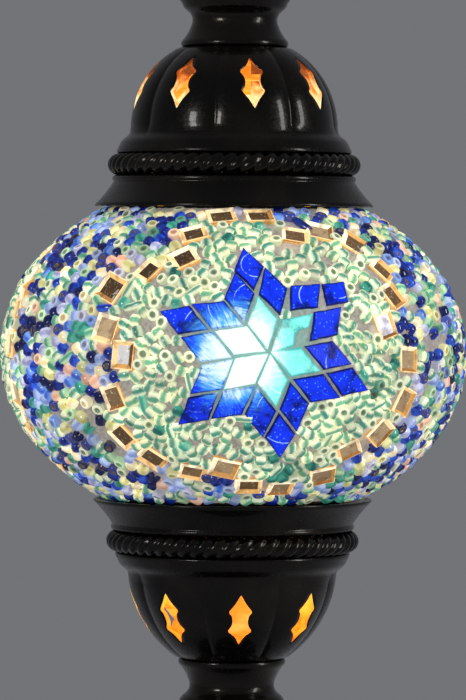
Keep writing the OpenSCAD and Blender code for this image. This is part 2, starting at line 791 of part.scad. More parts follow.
module terminal_screws() {
    color(brass) for (side = [-1, 1])
        translate([side * 6, block_y + 3, block_z + 5 + fine]) cylinder(r = 2, h = 6);
}

// ---------------------------------------------------------------- assembly

module on_top() { translate([0, 0, globe_z]) children(); }
module underneath() { translate([0, 0, globe_z]) mirror([0, 0, 1]) children(); }

felt_pad();
base_plate();
base_screws();
ballast_ring();
foot_skirt();
translate([0, 0, skirt_top_z]) rope_blank(foot_rope_r, foot_rope_d, foot_rope_flat);  // foot_rope_ring
foot_bell();
cord_bush();
terminal_block();
terminal_screws();
washer(foot_web_z - washer_t, 14, rod_r);  // foot_washer
hex_nut(foot_web_z - washer_t - nut_h, rod_nut_af, rod_r);  // foot_nut
threaded_rod();
translate([0, 0, foot_h]) neck(rod_r + slip);  // foot_neck
translate([0, 0, knop_z]) knop();  // stem_knop
translate([0, 0, lower_neck_z + neck_h]) mirror([0, 0, 1]) neck(rod_r + slip);  // lower_neck
underneath() pierced_cap(lower_turn, rod_r + slip, lower_drop);  // lower_cup
underneath() translate([0, 0, collar_top_z]) rope_blank(rope_r, rope_d, rope_flat);  // lower_rope_ring
underneath() collar();  // lower_collar
underneath() seal();  // lower_seal
washer(cup_floor_z, 13, rod_r);  // cup_washer
hex_nut(cup_nut_z, rod_nut_af, rod_r);  // cup_nut
bulb_yoke();
cap_stud();
stud_nuts();
holder_body();
holder_insert();
holder_shell();
holder_contact();
color([0.4, 0.2, 0.1]) lead(-1);  // lead_live
color([0.1, 0.2, 0.6]) lead(1);  // lead_neutral
bulb_glass();
bulb_cap();
bulb_insulator();
bulb_contact();
bulb_filaments();
on_top() globe_glass();
on_top() plaster_coat();
on_top() star_tiles_cobalt();
on_top() star_tiles_turquoise();
on_top() bevelled_chips();
on_top() bead_field_medallions();
on_top() bead_field_ground();
on_top() seal();  // upper_seal
on_top() collar();  // upper_collar
on_top() translate([0, 0, collar_top_z]) rope_blank(rope_r, rope_d, rope_flat);  // upper_rope_ring
on_top() pierced_cap(upper_turn, stud_r + slip, 0);  // upper_cap
translate([0, 0, globe_z + cap_top_z]) neck(stud_r + slip);  // upper_neck
finial_washer();
finial();
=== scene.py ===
# %% [markdown]
# # A mosaic glass table lamp
# The real lamp is a blown glass globe that somebody has covered by hand with seed beads, cut
# glass and bevelled chips, set in grey plaster. Two cast metal caps hold it on a turned stem.
# The engineering model gives every piece its place and size, and this lesson gives them
# their looks: each step says what a piece is, how it could be made, and why this way was taken.

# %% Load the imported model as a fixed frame
import math

import bpy
import numpy as np
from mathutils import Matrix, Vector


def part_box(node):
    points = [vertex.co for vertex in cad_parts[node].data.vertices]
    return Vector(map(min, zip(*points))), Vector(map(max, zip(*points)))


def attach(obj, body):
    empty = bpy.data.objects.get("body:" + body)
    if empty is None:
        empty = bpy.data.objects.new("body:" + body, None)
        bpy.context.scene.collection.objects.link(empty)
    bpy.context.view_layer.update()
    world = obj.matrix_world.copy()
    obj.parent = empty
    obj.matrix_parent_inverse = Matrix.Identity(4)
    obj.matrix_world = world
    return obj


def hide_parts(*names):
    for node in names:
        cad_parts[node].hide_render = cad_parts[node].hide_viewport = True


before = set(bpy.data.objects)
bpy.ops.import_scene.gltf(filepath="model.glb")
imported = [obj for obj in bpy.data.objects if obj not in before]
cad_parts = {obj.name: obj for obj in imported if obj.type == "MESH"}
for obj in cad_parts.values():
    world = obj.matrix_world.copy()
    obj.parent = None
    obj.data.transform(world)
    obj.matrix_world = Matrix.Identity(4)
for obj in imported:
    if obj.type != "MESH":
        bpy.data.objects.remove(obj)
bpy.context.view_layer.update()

# %% [markdown]
# ## Sizes taken from the frame
# The globe is an oblate ball: its outline is an ellipse. Its half width and the height at which
# its ends are cut come from the frame, and the ellipse's half height follows from those two.

# %% The globe's ellipse
mm = 0.001


def box_of(node):
    low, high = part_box(node)
    return np.array(low), np.array(high)


glass_low, glass_high = box_of("globe_glass")
globe_z = (glass_low[2] + glass_high[2]) / 2
globe_a = glass_high[0]
rim_z = glass_high[2] - globe_z
mouth_r = box_of("lower_seal")[1][0]
globe_b = rim_z / math.sqrt(1 - (mouth_r / globe_a) ** 2)
mosaic_t = 4.0 * mm
plaster_t = 1.4 * mm
face_a = globe_a + mosaic_t
face_b = globe_b + mosaic_t
print("globe half width, half height (mm):", round(globe_a / mm, 2), round(globe_b / mm, 2))

# %% [markdown]
# ## Camera, floor and light
# The camera stands level with the upper part of the globe, about 1.65 m away, with a long lens.
# A long lens keeps upright things upright, which suits a picture of a turned object. The floor
# of pale paper fades into the room's grey, so there is no wall to hide the lamp from behind.

# %% Camera
eye_up = 41 * mm
aim_up = 1.0 * mm
camera_away = 1.65
lean = math.radians(-0.28)
eye = np.array([-0.3 * mm, -camera_away, globe_z + eye_up])
camera_data = bpy.data.cameras.new("camera")
camera_data.lens = 240
camera_data.sensor_width = 36
camera_data.sensor_fit = "AUTO"
camera_data.clip_end = 20
camera = bpy.data.objects.new("camera", camera_data)
bpy.context.scene.collection.objects.link(camera)
pitch = math.atan2(eye_up - aim_up, camera_away)
camera.location = eye
camera.rotation_mode = "XYZ"
camera.rotation_euler = (math.pi / 2 - pitch, lean, 0)
bpy.context.scene.camera = camera
print("camera at", eye, "pitched down", round(math.degrees(pitch), 2), "degrees")

# %% Helpers that turn arrays into objects


def grid_faces(rows, cols, wrap_rows=False, wrap_cols=False, start=0):
    """Quads that join a grid of rows by cols points, row by row; wrapping joins last to first."""
    i = np.arange(rows if wrap_rows else rows - 1)[:, None]
    j = np.arange(cols if wrap_cols else cols - 1)[None, :]
    i2, j2 = (i + 1) % rows, (j + 1) % cols
    quads = np.stack([i * cols + j, i * cols + j2, i2 * cols + j2, i2 * cols + j], -1)
    return quads.reshape(-1, 4) + start


def mesh_object(name, points, faces, smooth=True, material_index=None):
    """An object whose mesh holds the points and a list of face arrays, each of one number of sides."""
    mesh = bpy.data.meshes.new(name)
    loops = np.concatenate([f.reshape(-1) for f in faces]).astype(np.int32)
    sides = np.concatenate([np.full(len(f), f.shape[1]) for f in faces])
    mesh.vertices.add(len(points))
    mesh.vertices.foreach_set("co", np.asarray(points, np.float32).reshape(-1))
    mesh.loops.add(len(loops))
    mesh.loops.foreach_set("vertex_index", loops)
    mesh.polygons.add(len(sides))
    mesh.polygons.foreach_set("loop_start", np.concatenate([[0], np.cumsum(sides)[:-1]]).astype(np.int32))
    if material_index is not None:
        mesh.polygons.foreach_set("material_index", material_index.astype(np.int32))
    mesh.update(calc_edges=True)
    mesh.validate()
    mesh.polygons.foreach_set("use_smooth", np.full(len(sides), smooth))
    made = bpy.data.objects.new(name, mesh)
    bpy.context.scene.collection.objects.link(made)
    return made


def paint_points(made, name, values):
    """Stores one number or one colour for each point of the mesh, for its material to read."""
    values = np.asarray(values, np.float32)
    kind = "FLOAT" if values.ndim == 1 else "FLOAT_COLOR"
    layer = made.data.attributes.new(name, kind, "POINT")
    layer.data.foreach_set("value" if kind == "FLOAT" else "color", values.reshape(-1))


def settle(made, body, slot, *nodes):
    """Rides the piece on its body and hides the plain nodes it stands for; slot is not used."""
    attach(made, body)
    if nodes:
        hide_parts(*nodes)
    print(made.name, "has", len(made.data.polygons), "faces")
    return made


# %% Floor of paper under the lamp
def floor_sheet():
    """A flat square under the lamp, (x, y, 0) on a grid; its finish fades away towards the edges."""
    side = np.array([-1.15, 1.15])
    x, y = np.meshgrid(side, side)
    points = np.stack([x, y, 0 * x], -1).reshape(-1, 3)
    return mesh_object("paper_sweep", points, [grid_faces(2, 2)])


floor = floor_sheet()

# %% [markdown]
# Three soft lamps do the work of a small studio: a small one high on the left, a tall and
# stronger one on the right, and a wide one overhead that the metal does not mirror. Narrow lamps
# give narrow bright reflections, and dark glossy metal shows little else.

# %% Softboxes and the room's own light
def softbox(name, place, target, width, height, power, colour=(1, 1, 1)):
    """A rectangular lamp at place that faces target."""
    lamp = bpy.data.lights.new(name, "AREA")
    lamp.shape = "RECTANGLE"
    lamp.size, lamp.size_y = width, height
    lamp.energy = power
    lamp.color = colour
    made = bpy.data.objects.new(name, lamp)
    made.location = place
    way = np.array(target) - np.array(place)
    way = way / np.linalg.norm(way)
    made.rotation_mode = "XYZ"
    made.rotation_euler = (math.acos(-way[2]), 0, math.atan2(way[1], way[0]) - math.pi / 2)
    bpy.context.scene.collection.objects.link(made)
    return made


middle = (0, 0, globe_z)
softbox("key_left", (-1.05, -1.25, globe_z + 0.42), middle, 0.30, 0.40, 7)
softbox("fill_right", (1.55, -0.60, globe_z + 0.36), middle, 0.26, 1.10, 11)
overhead = softbox("overhead", (0, 0.1, globe_z + 1.5), middle, 1.6, 1.2, 11)
overhead.visible_glossy = False
room = bpy.data.worlds.new("room")
room.use_nodes = True
room.node_tree.nodes["Background"].inputs[0].default_value = (0.92, 0.94, 1.0, 1)
room.node_tree.nodes["Background"].inputs[1].default_value = 0.185
bpy.context.scene.world = room
bpy.context.scene.view_settings.view_transform = "Standard"

# %% [markdown]
# ## Finishes
# A finish is a small graph of shader nodes. These helpers add nodes with few words, so that
# each finish below reads as a recipe.

# %% Words for building node graphs


class Recipe:
    """A material being made: add() places a node, join() links two sockets."""

    def __init__(self, name):
        self.material = bpy.data.materials.new(name)
        self.material.use_nodes = True
        self.tree = self.material.node_tree
        self.shader = self.tree.nodes["Principled BSDF"]

    def add(self, kind, settings=(), **values):
        node = self.tree.nodes.new("ShaderNode" + kind)
        for key, value in dict(settings).items():
            setattr(node, key, value)
        for key, value in values.items():
            socket = node.inputs[int(key[1:])] if key[1:].isdigit() else node.inputs[key]
            if isinstance(value, bpy.types.NodeSocket):
                self.tree.links.new(value, socket)
            else:
                socket.default_value = value
        return node

    def join(self, source, target):
        self.tree.links.new(source, target)

    def sum(self, how, a, b=0.5, clamp=False):
        return self.add("Math", {"operation": how, "use_clamp": clamp}, i0=a, i1=b).outputs[0]

    def step(self, value, low, high, to_low=0.0, to_high=1.0):
        """Eases from to_low to to_high as value goes from low to high."""
        node = self.add("MapRange", {"interpolation_type": "SMOOTHSTEP"}, i0=value, i1=low, i2=high,
                        i3=to_low, i4=to_high)
        return node.outputs[0]

    def mix(self, share, a, b, how="MIX"):
        node = self.add("Mix", {"data_type": "RGBA", "blend_type": how})
        for socket, value in zip((node.inputs[0], node.inputs[6], node.inputs[7]), (share, a, b)):
            if isinstance(value, bpy.types.NodeSocket):
                self.join(value, socket)
            else:
                socket.default_value = value
        return node.outputs[2]

    def point(self):
        """Where a point of the surface lies in the lamp's own space, in millimetres."""
        place = self.add("TexCoord").outputs["Object"]
        return self.add("VectorMath", {"operation": "SCALE"}, i0=place, Scale=1000.0).outputs[0]

    def noise(self, scale, detail=2.0, where=None, rough=0.5):
        where = self.point() if where is None else where
        return self.add("TexNoise", Vector=where, Scale=scale, Detail=detail, Roughness=rough)

    def bump(self, height, strength, distance):
        node = self.add("Bump", Strength=strength, Distance=distance, Height=height)
        self.join(node.outputs[0], self.shader.inputs["Normal"])

    def painted(self, name):
        return self.add("Attribute", {"attribute_name": name})

    def set(self, **values):
        for key, value in values.items():
            self.shader.inputs[key.replace("_", " ")].default_value = value


def rgb(r, g, b):
    """A colour named by its three screen values, 0 to 255, as the light values shaders use."""
    c = np.array([r, g, b]) / 255
    return tuple(np.where(c <= 0.04045, c / 12.92, ((c + 0.055) / 1.055) ** 2.4)) + (1.0,)


# %% Paper of the floor
paper = Recipe("sweep_paper")
grain = paper.noise(0.5, 3)
paper.join(paper.mix(grain.outputs[0], rgb(164, 165, 170), rgb(172, 173, 178)),
           paper.shader.inputs["Base Color"])
paper.set(Roughness=0.9)
spread = paper.add("VectorMath", {"operation": "MULTIPLY"}, i0=paper.point(), i1=(1, 1, 0))
spread = paper.add("VectorMath", {"operation": "LENGTH"}, i0=spread.outputs[0]).outputs["Value"]
paper.join(paper.step(spread, 420.0, 1120.0, 1.0, 0.0), paper.shader.inputs["Alpha"])
floor.data.materials.append(paper.material)

# %% [markdown]
# ### Dark bronze
# The castings are zinc with a nearly black bronze patina under lacquer. It is a mirror that
# gives back a few hundredths of the light, with a clear coat over it. Fine unevenness from the
# casting breaks up the highlights, and the patina is thin and browner where hands wear it.


# %% Patinated metal
def patina(name, tone=1.0, gloss=0.24, scale=1.0):
    """Nearly black metal under lacquer; tone lifts the colour and gloss sets the blur."""
    r = Recipe(name)
    broad = r.noise(0.045 * scale, 4).outputs[0]
    fine = r.noise(0.9 * scale, 3).outputs[0]
    dark = tuple(tone * v for v in (0.0065, 0.0060, 0.0048)) + (1,)
    brown = tuple(tone * v for v in (0.021, 0.0165, 0.0118)) + (1,)
    r.join(r.mix(r.step(broad, 0.40, 0.75), dark, brown), r.shader.inputs["Base Color"])
    r.join(r.step(fine, 0.3, 0.75, gloss - 0.05, gloss + 0.12), r.shader.inputs["Roughness"])
    r.set(Metallic=0.8, Coat_Weight=0.24, Coat_Roughness=0.08, Specular_IOR_Level=0.3)
    r.bump(r.sum("ADD", r.sum("MULTIPLY", broad, 2.0), fine), 0.22, 0.00025)
    return r.material


bronze = patina("bronze_patina")

# %% [markdown]
# ## Turned pieces
# Collars, necks, knop and finial are turned or spun, so each is one profile carried round the
# lamp's axis. A profile is a closed loop of (radius, height) points, and rounded corners are
# part of the loop, because real edges always catch a thin line of light.


# %% Carry a closed profile round the axis
def turned(name, profile, material, turns=128, closed=True):
    """The surface (r cos a, r sin a, z) of a profile that runs anticlockwise, as seen with the
    axis on the left. A profile that is not closed starts and ends on the axis."""
    profile = np.asarray(profile, float)
    a = np.linspace(0, 2 * math.pi, turns, endpoint=False)
    ring = np.stack([np.outer(profile[:, 0], np.cos(a)), np.outer(profile[:, 0], np.sin(a)),
                     np.repeat(profile[:, 1][:, None], turns, 1)], -1).reshape(-1, 3)
    faces = grid_faces(len(profile), turns, wrap_rows=closed, wrap_cols=True)
    groups = [faces]
    if not closed:
        j = np.arange(turns)
        ring = np.vstack([ring, [[0, 0, profile[0, 1]], [0, 0, profile[-1, 1]]]])
        last = (len(profile) - 1) * turns
        groups.append(np.stack([(j + 1) % turns, j, np.full(turns, len(ring) - 2)], -1))
        groups.append(np.stack([last + j, last + (j + 1) % turns, np.full(turns, len(ring) - 1)], -1))
    made = mesh_object(name, ring, groups)
    made.data.materials.append(material)
    return made


def flip_up(profile, low_end):
    """Turns a profile that was drawn outwards from the globe's middle to hang below it."""
    profile = np.asarray(profile, float)
    return profile * [1, -1 if low_end else 1] + [0, globe_z]


# %% [markdown]
# ## The collars
# Each end of the globe sits in a spun collar: a flared skirt that hides the cut glass, a web on
# top, and an inner sleeve that centres it. The skirt is almost straight, with a small bead under
# the rope moulding that catches the light.

# %% Collars
collar_edge_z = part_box("upper_collar")[0].z - globe_z
collar_top_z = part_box("upper_collar")[1].z - globe_z
edge_r = box_of("upper_collar")[1][0]


def collar(name, low_end, body, node):
    """Skirt from the edge up to the bead, web across, sleeve down inside, and back."""
    wall, sleeve = 1.25 * mm, 37.2 * mm
    rise = collar_top_z - collar_edge_z
    s = np.linspace(0, 1, 9)
    skirt_r = edge_r - 6.5 * mm * (1.25 * s - 0.25 * s ** 2)
    skirt_z = collar_edge_z + 0.5 * mm + (rise - 2.9 * mm) * s
    bead = np.array([[42.55, 2.0], [42.95, 1.7], [43.1, 1.1], [42.9, 0.4], [42.3, 0.0]]) * mm
    outside = np.vstack([[[edge_r - 0.3 * mm, collar_edge_z]], np.stack([skirt_r, skirt_z], 1),
                         bead * [1, -1] + [0, collar_top_z]])
    inside = np.stack([skirt_r - wall, skirt_z - 0.2 * mm], 1)[::-1]
    top = np.array([[sleeve, collar_top_z], [sleeve, rim_z + 2.3 * mm],
                    [sleeve + wall, rim_z + 2.3 * mm], [sleeve + wall, collar_top_z - 1.5 * mm],
                    [41.0 * mm, collar_top_z - 1.5 * mm]])
    foot = [[edge_r - wall, collar_edge_z]]
    profile = np.vstack([outside, top, inside, foot])
    made = turned(name, settled(flip_up(profile, low_end)), bronze, turns=160)
    return settle(made, body, "dark_metal", node)


def settled(profile):
    """The same closed loop, run anticlockwise: its signed area, a sum of r dz, is positive."""
    r, z = profile[:, 0], profile[:, 1]
    area = np.sum(r * np.roll(z, -1) - np.roll(r, -1) * z)
    return profile if area > 0 else profile[::-1]


collar("collar_above", False, "cap", "upper_collar")
collar("collar_below", True, "base", "lower_collar")

# %% [markdown]
# ## The rope mouldings
# The rope is cast in one piece, but it has the shape of three strands laid together. Bending
# three tubes round a ring would make surfaces that cross inside each other. Instead one tube's
# own radius rises and falls: at each angle it is the distance to the outside of three circles
# set round the rope's middle, and that figure turns as it goes round the lamp.


# %% Rope moulding as one closed surface
def rope_ring(name, ring_r, rope_r, height, twists, middle_z, body, node, turn=0.0):
    """Radius c cos d + sqrt(s^2 - c^2 sin^2 d): the outside of three circles of radius s at the
    distance c, where d is the angle from the nearest circle's middle."""
    strands, around, across = 3, twists * 3 * 9, 36
    theta = np.linspace(0, 2 * math.pi, around, endpoint=False)[None, :]
    psi = np.linspace(0, 2 * math.pi, across, endpoint=False)[:, None]
    third = 2 * math.pi / strands
    d = (psi - twists * (theta + turn) + third / 2) % third - third / 2
    c, s = 0.34 * rope_r, 0.66 * rope_r
    rho = c * np.cos(d) + np.sqrt(np.maximum(s * s - (c * np.sin(d)) ** 2, 0))
    out = ring_r + rho * np.cos(psi)
    up = middle_z + rho * np.sin(psi) * height / (2 * rope_r)
    points = np.stack([out * np.cos(theta), out * np.sin(theta), up], -1).reshape(-1, 3)
    made = mesh_object(name, points, [grid_faces(across, around, True, True)])
    made.data.materials.append(bronze)
    return settle(made, body, "dark_metal", node)


rope_low, rope_high = box_of("upper_rope_ring")
rope_r = 4.2 * mm
rope_ring_r = rope_high[0] - rope_r
rope_h = rope_high[2] - rope_low[2]
rope_z = (rope_high[2] + rope_low[2]) / 2
rope_ring("rope_ring_above", rope_ring_r, rope_r, rope_h, 19, rope_z, "cap", "upper_rope_ring")
rope_ring("rope_ring_below", rope_ring_r, rope_r, rope_h, 19, 2 * globe_z - rope_z, "base",
          "lower_rope_ring", turn=0.06)
foot_rope_low, foot_rope_high = box_of("foot_rope_ring")
foot_rope_r = 4.6 * mm
rope_ring("rope_ring_foot", foot_rope_high[0] - foot_rope_r, foot_rope_r,
          foot_rope_high[2] - foot_rope_low[2], 22, (foot_rope_high[2] + foot_rope_low[2]) / 2,
          "base", "foot_rope_ring", turn=0.02)

# %% [markdown]
# ## The pierced caps
# A cap is a cast dome with eight lobes, and each lobe has one opening in the outline of two
# pointed leaves joined at a waist. A boolean cut would leave ragged faces whose highlights
# flicker. Here the grid is laid so that its own lines follow the opening: in each lobe the
# columns run from the groove to the opening's edge on both sides, so where there is no opening
# they meet in the middle, and where there is one they leave it free.

# %% Outline of an opening
# half widths of the opening up its height, both in millimetres, from the globe's side outwards
leaf_h = np.array([-8.85, -8.0, -6.9, -5.7, -4.6, -3.7, -3.0, -2.4, -1.7, -0.8, 0.2, 1.2, 2.2, 3.0,
                   3.7, 4.4, 5.0, 5.7, 6.6, 7.6, 8.3, 8.85]) * mm
leaf_w = np.array([0.0, 0.55, 1.15, 1.9, 2.75, 3.5, 3.95, 3.75, 3.1, 2.8, 2.65, 2.7, 3.0, 3.5,
                   4.0, 3.8, 2.9, 2.0, 1.25, 0.7, 0.35, 0.0]) * mm


def lobed_cap(name, parts, low_end, turn, lining, body, node, lobes=8, outside_metal=None):
    """Rows are the closed profile, columns go round. A row's radius is pulled in by
    drop * (1 - sqrt(1 - (0.96 x)^2)) where x runs from 0 mid-lobe to 1 in the groove."""
    r, z, drop, width, inside = (np.array(column, float) for column in zip(*parts))
    half = math.pi / lobes
    steps = np.linspace(0, 1, 11) ** 1.45
    gap = np.arcsin(np.minimum(width / r, 0.95))[:, None]
    left = -half + (half - gap) * steps[None, :]
    angles = np.concatenate([left, -left[:, ::-1]], 1)
    bulge = np.sqrt(1 - (0.96 * np.abs(angles) / half) ** 2)
    radius = r[:, None] - drop[:, None] * (1 - bulge) / 0.72
    columns = angles.shape[1]
    centre = turn - math.pi / 2 + 2 * half * np.arange(lobes)
    theta = (angles[:, None, :] + centre[None, :, None]).reshape(len(r), -1)
    radius = np.repeat(radius[:, None, :], lobes, 1).reshape(len(r), -1)
    up = np.repeat((globe_z - z if low_end else globe_z + z)[:, None], theta.shape[1], 1)
    points = np.stack([radius * np.cos(theta), radius * np.sin(theta), up], -1).reshape(-1, 3)
    total = lobes * columns
    quads = grid_faces(len(r), total, wrap_rows=True)
    row, column = (quads[:, 0] // total), (quads[:, 0] % total)
    keep = (column % columns) != columns // 2 - 1
    keep &= (column % columns) != columns - 1
    is_lining = (inside[row] > 0) & (inside[(row + 1) % len(r)] > 0)
    faces, mark = [quads[keep]], [is_lining[keep]]
    opened = np.flatnonzero((width > 0) & (inside == 0))
    if len(opened):
        outer = np.concatenate([[opened[0] - 1], opened, [opened[-1] + 1]])
        inner = np.array([np.flatnonzero((inside > 0) & (np.abs(z - z[k]) < 1e-9))[0] for k in outer])
        for side in (columns // 2 - 1, columns // 2):
            for lobe in range(lobes):
                c = lobe * columns + side
                wall = np.stack([outer[:-1] * total + c, outer[1:] * total + c,
                                 inner[1:] * total + c, inner[:-1] * total + c], -1)
                faces.append(wall)
                mark.append(np.ones(len(wall), bool))
    made = mesh_object(name, points, [np.concatenate(faces)], material_index=np.concatenate(mark))
    made.data.materials.append(outside_metal or bronze)
    made.data.materials.append(lining)
    close_up(made)
    return settle(made, body, "dark_metal", node)


def close_up(made):
    """Joins points that lie together, drops faces that have no area, and points all faces out."""
    import bmesh
    work = bmesh.new()
    work.from_mesh(made.data)
    bmesh.ops.remove_doubles(work, verts=work.verts, dist=2e-6)
    bmesh.ops.dissolve_degenerate(work, edges=work.edges, dist=1e-7)
    bmesh.ops.recalc_face_normals(work, faces=work.faces)
    open_edges = sum(1 for e in work.edges if len(e.link_faces) != 2)
    work.to_mesh(made.data)
    work.free()
    print(made.name, "edges without two faces:", open_edges)


# %% [markdown]
# The inside of a cap is bare brass-coloured metal that the bulb lights. Through the openings it
# glows orange: brightest near the globe, darker towards the cap's crown, where the yoke's
# bar shades it. The glow and shade are painted by height, and noise breaks them into lighter and darker
# blotches.


# %% Lit lining of the caps
def lit_lining(name, near, far, glow):
    """Warm metal; near and far are the distances from the globe's middle of full and least glow."""
    r = Recipe(name)
    height = r.add("SeparateXYZ", Vector=r.point()).outputs[2]
    away = r.sum("ABSOLUTE", r.sum("SUBTRACT", height, globe_z / mm))
    share = r.step(away, near, far)
    blotch = r.noise(0.24, 4).outputs[0]
    # Noise breaks the painted glow and shade into lighter and darker blotches.
    share = r.sum("ADD", share, r.sum("MULTIPLY", r.sum("SUBTRACT", blotch, 0.5), 1.7), clamp=True)
    colours = r.add("ValToRGB", Fac=share)
    ramp = colours.color_ramp
    for place, colour in zip((0.0, 0.4, 0.75, 1.0), glow):
        stop = ramp.elements.new(place) if 0 < place < 1 else ramp.elements[0 if place == 0 else -1]
        stop.position, stop.color = place, colour
    r.join(colours.outputs[0], r.shader.inputs["Base Color"])
    r.join(colours.outputs[0], r.shader.inputs["Emission Color"])
    r.set(Emission_Strength=0.8, Roughness=0.45, Metallic=0.3)
    return r.material


lining_below = lit_lining("lit_brass_below", 84.0, 106.0,
                          [rgb(252, 200, 72), rgb(250, 172, 48), rgb(244, 146, 30), rgb(226, 112, 18)])
lining_above = lit_lining("lit_brass_above", 88.0, 102.0,
                          [rgb(250, 226, 172), rgb(222, 160, 84), rgb(176, 84, 18), rgb(112, 50, 8)])

# %% Rows of a cap's profile
cap_top = box_of("upper_cap")[1][2] - globe_z
cap_z = cap_top - 31.0 * mm
band_h = 6.5 * mm
wall = 1.6 * mm
leaf_z = cap_top - 4.5 * mm - 8.85 * mm


def dome_radius(base, height, top, z, power=2.2):
    """Superellipse: (r / base)^p + (z / full)^p = 1, with full set so that r = top at the height."""
    full = height / (1 - (top / base) ** power) ** (1 / power)
    return base * (1 - np.clip(z / full, 0, 1) ** power) ** (1 / power)


def cap_rows(hole_r, power, nearer):
    """(radius, height, groove depth, opening's half width, inside?) for each row of the loop."""
    rows = []
    spigot_low = cap_z - band_h - rope_h
    leaf = leaf_z - nearer
    for r, z in ((34.8, spigot_low / mm), (36.1, spigot_low / mm), (36.2, (cap_z - band_h) / mm)):
        rows.append((r * mm, z * mm, 0, 0, 0))
    band = ((40.9, 0.0), (41.5, 0.35), (41.5, 1.0), (41.1, 1.9), (40.6, 2.9), (40.2, 3.8),
            (39.6, 4.6), (38.8, 5.4), (37.9, 6.1), (37.2, 6.8), (36.95, 7.6), (36.85, 8.6), (36.7, 9.3))
    for r, z in band:
        rows.append((r * mm, cap_z - band_h + z * mm, 1.1 * mm * max(0.0, (z - 5.0) / 4.3), 0, 0))
    under = np.linspace(3.9 * mm, leaf - leaf_h[-1] - cap_z - 0.8 * mm, 4)
    over = np.linspace(leaf - cap_z + leaf_h[-1] + 1.2 * mm, 30.4 * mm, 4)
    heights = np.concatenate([under, leaf - cap_z + leaf_h, over])
    widths = np.concatenate([np.zeros(4), leaf_w, np.zeros(4)])
    for z, w in zip(heights, widths):
        r = float(dome_radius(36.9 * mm, 31.0 * mm, 19.6 * mm, z, power))
        deep = 1.35 * mm * min(1.0, r / (33 * mm))
        rows.append((r, cap_z + z, deep, w, 0))
    rows += [(19.2 * mm, cap_top - 0.05 * mm, 0.4 * mm, 0, 0), (18.4 * mm, cap_top, 0, 0, 0),
             (hole_r, cap_top, 0, 0, 0), (hole_r, cap_top - wall, 0, 0, 1)]
    rows.append((15.0 * mm, cap_top - wall, 0, 0, 1))
    for z, w in [(z, w) for z, w in zip(heights, widths) if z < 29.0 * mm][::-1]:
        r = float(dome_radius(36.9 * mm - wall, 31.0 * mm - wall, 19.6 * mm - wall, z, power))
        rows.append((r, cap_z + z, 0, w, 1))
    rows.append((34.9 * mm, cap_z - band_h, 0, 0, 1))
    return rows


lobed_cap("pierced_cap", cap_rows(3.3 * mm, 2.2, 0.0), False, math.radians(11.2), lining_above, "cap",
          "upper_cap")
lobed_cap("pierced_cup", cap_rows(5.3 * mm, 1.88, 2.4 * mm), True, math.radians(5.0), lining_below, "base",
          "lower_cup")

# %% [markdown]
# ## Necks, knop and finial
# The neck is the same turning in three places: a bead, a hollow waist and a flange. Between the
# lower two sits a round knop, and the finial screws onto the top.

# %% Turned stem
neck_profile = np.array([[18.0, 0.0], [18.7, 0.4], [19.0, 1.0], [18.9, 1.9], [18.3, 2.7], [17.6, 3.5],
                         [16.9, 4.6], [16.2, 5.8], [15.6, 7.2], [15.1, 8.6], [14.95, 9.8],
                         [15.15, 10.8], [15.7, 11.9], [16.6, 12.8], [17.5, 13.5], [18.2, 14.4],
                         [18.6, 15.4], [19.0, 16.0], [19.5, 16.8], [19.6, 18.2], [19.5, 20.0],
                         [18.9, 21.0]]) * mm


def neck(name, base_z, upside_down, bore, body, node):
    length = 21.0 * mm
    profile = np.vstack([neck_profile, [[bore, length], [bore, 0.0]]])
    if upside_down:
        profile = profile * [1, -1] + [0, length]
    made = turned(name, settled(profile + [0, base_z]), bronze, turns=112)
    return settle(made, body, "dark_metal", node)


neck("neck_above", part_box("upper_neck")[0].z, False, 3.3 * mm, "cap", "upper_neck")
neck("neck_below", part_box("lower_neck")[0].z, True, 5.3 * mm, "base", "lower_neck")
neck("neck_foot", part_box("foot_neck")[0].z, False, 5.3 * mm, "base", "foot_neck")

knop_low, knop_high = box_of("stem_knop")


def knop_profile():
    """Radius end + (greatest - end) sqrt(1 - s^2) as s runs up the knop, then back down the bore."""
    s = np.linspace(-1, 1, 29)
    end = 13.7 * mm
    r = end + (knop_high[0] - end) * np.sqrt(1 - s ** 2)
    z = (knop_low[2] + knop_high[2]) / 2 + s * (knop_high[2] - knop_low[2]) / 2
    body_line = np.stack([r, z], 1)
    return np.vstack([body_line, [[5.3 * mm, knop_high[2]], [5.3 * mm, knop_low[2]]]])


settle(turned("knop", settled(knop_profile()), bronze, turns=112), "base", "dark_metal", "stem_knop")

finial_low, finial_high = box_of("finial")


def finial_profile():
    """A foot ring, a throat, an onion drawn up to a point, and a small spike."""
    onion_s = np.linspace(0, 1, 24)
    belly = 0.4
    wide = finial_high[0]
    low_r, tip_r = 0.38 * wide, 2.2 * mm
    swell = low_r + (wide - low_r) * np.sin(np.pi / 2 * np.minimum(onion_s / belly, 1))
    above = np.clip((onion_s - belly) / (1 - belly), 0, 1)
    taper = tip_r + (wide - tip_r) * np.cos(np.pi / 2 * above) ** 1.25
    onion_r = np.where(onion_s < belly, swell, taper)
    onion_z = finial_low[2] + 8.8 * mm + 22.9 * mm * onion_s
    foot = np.array([[8.7, 0.0], [9.0, 0.4], [9.0, 2.0], [8.6, 2.5], [7.2, 3.2], [6.4, 4.2],
                     [5.2, 5.6], [4.8, 6.6], [4.9, 7.6]]) * mm + [0, finial_low[2]]
    spike_z = np.linspace(onion_z[-1] + 0.8 * mm, finial_high[2] - 0.3 * mm, 8)
    spike_r = 2.2 * mm * (1 - np.linspace(0, 1, 8)) ** 0.8 + 0.35 * mm
    top = [[0.18 * mm, finial_high[2] - 0.05 * mm]]
    return np.vstack([foot, np.stack([onion_r, onion_z], 1), np.stack([spike_r, spike_z], 1), top])


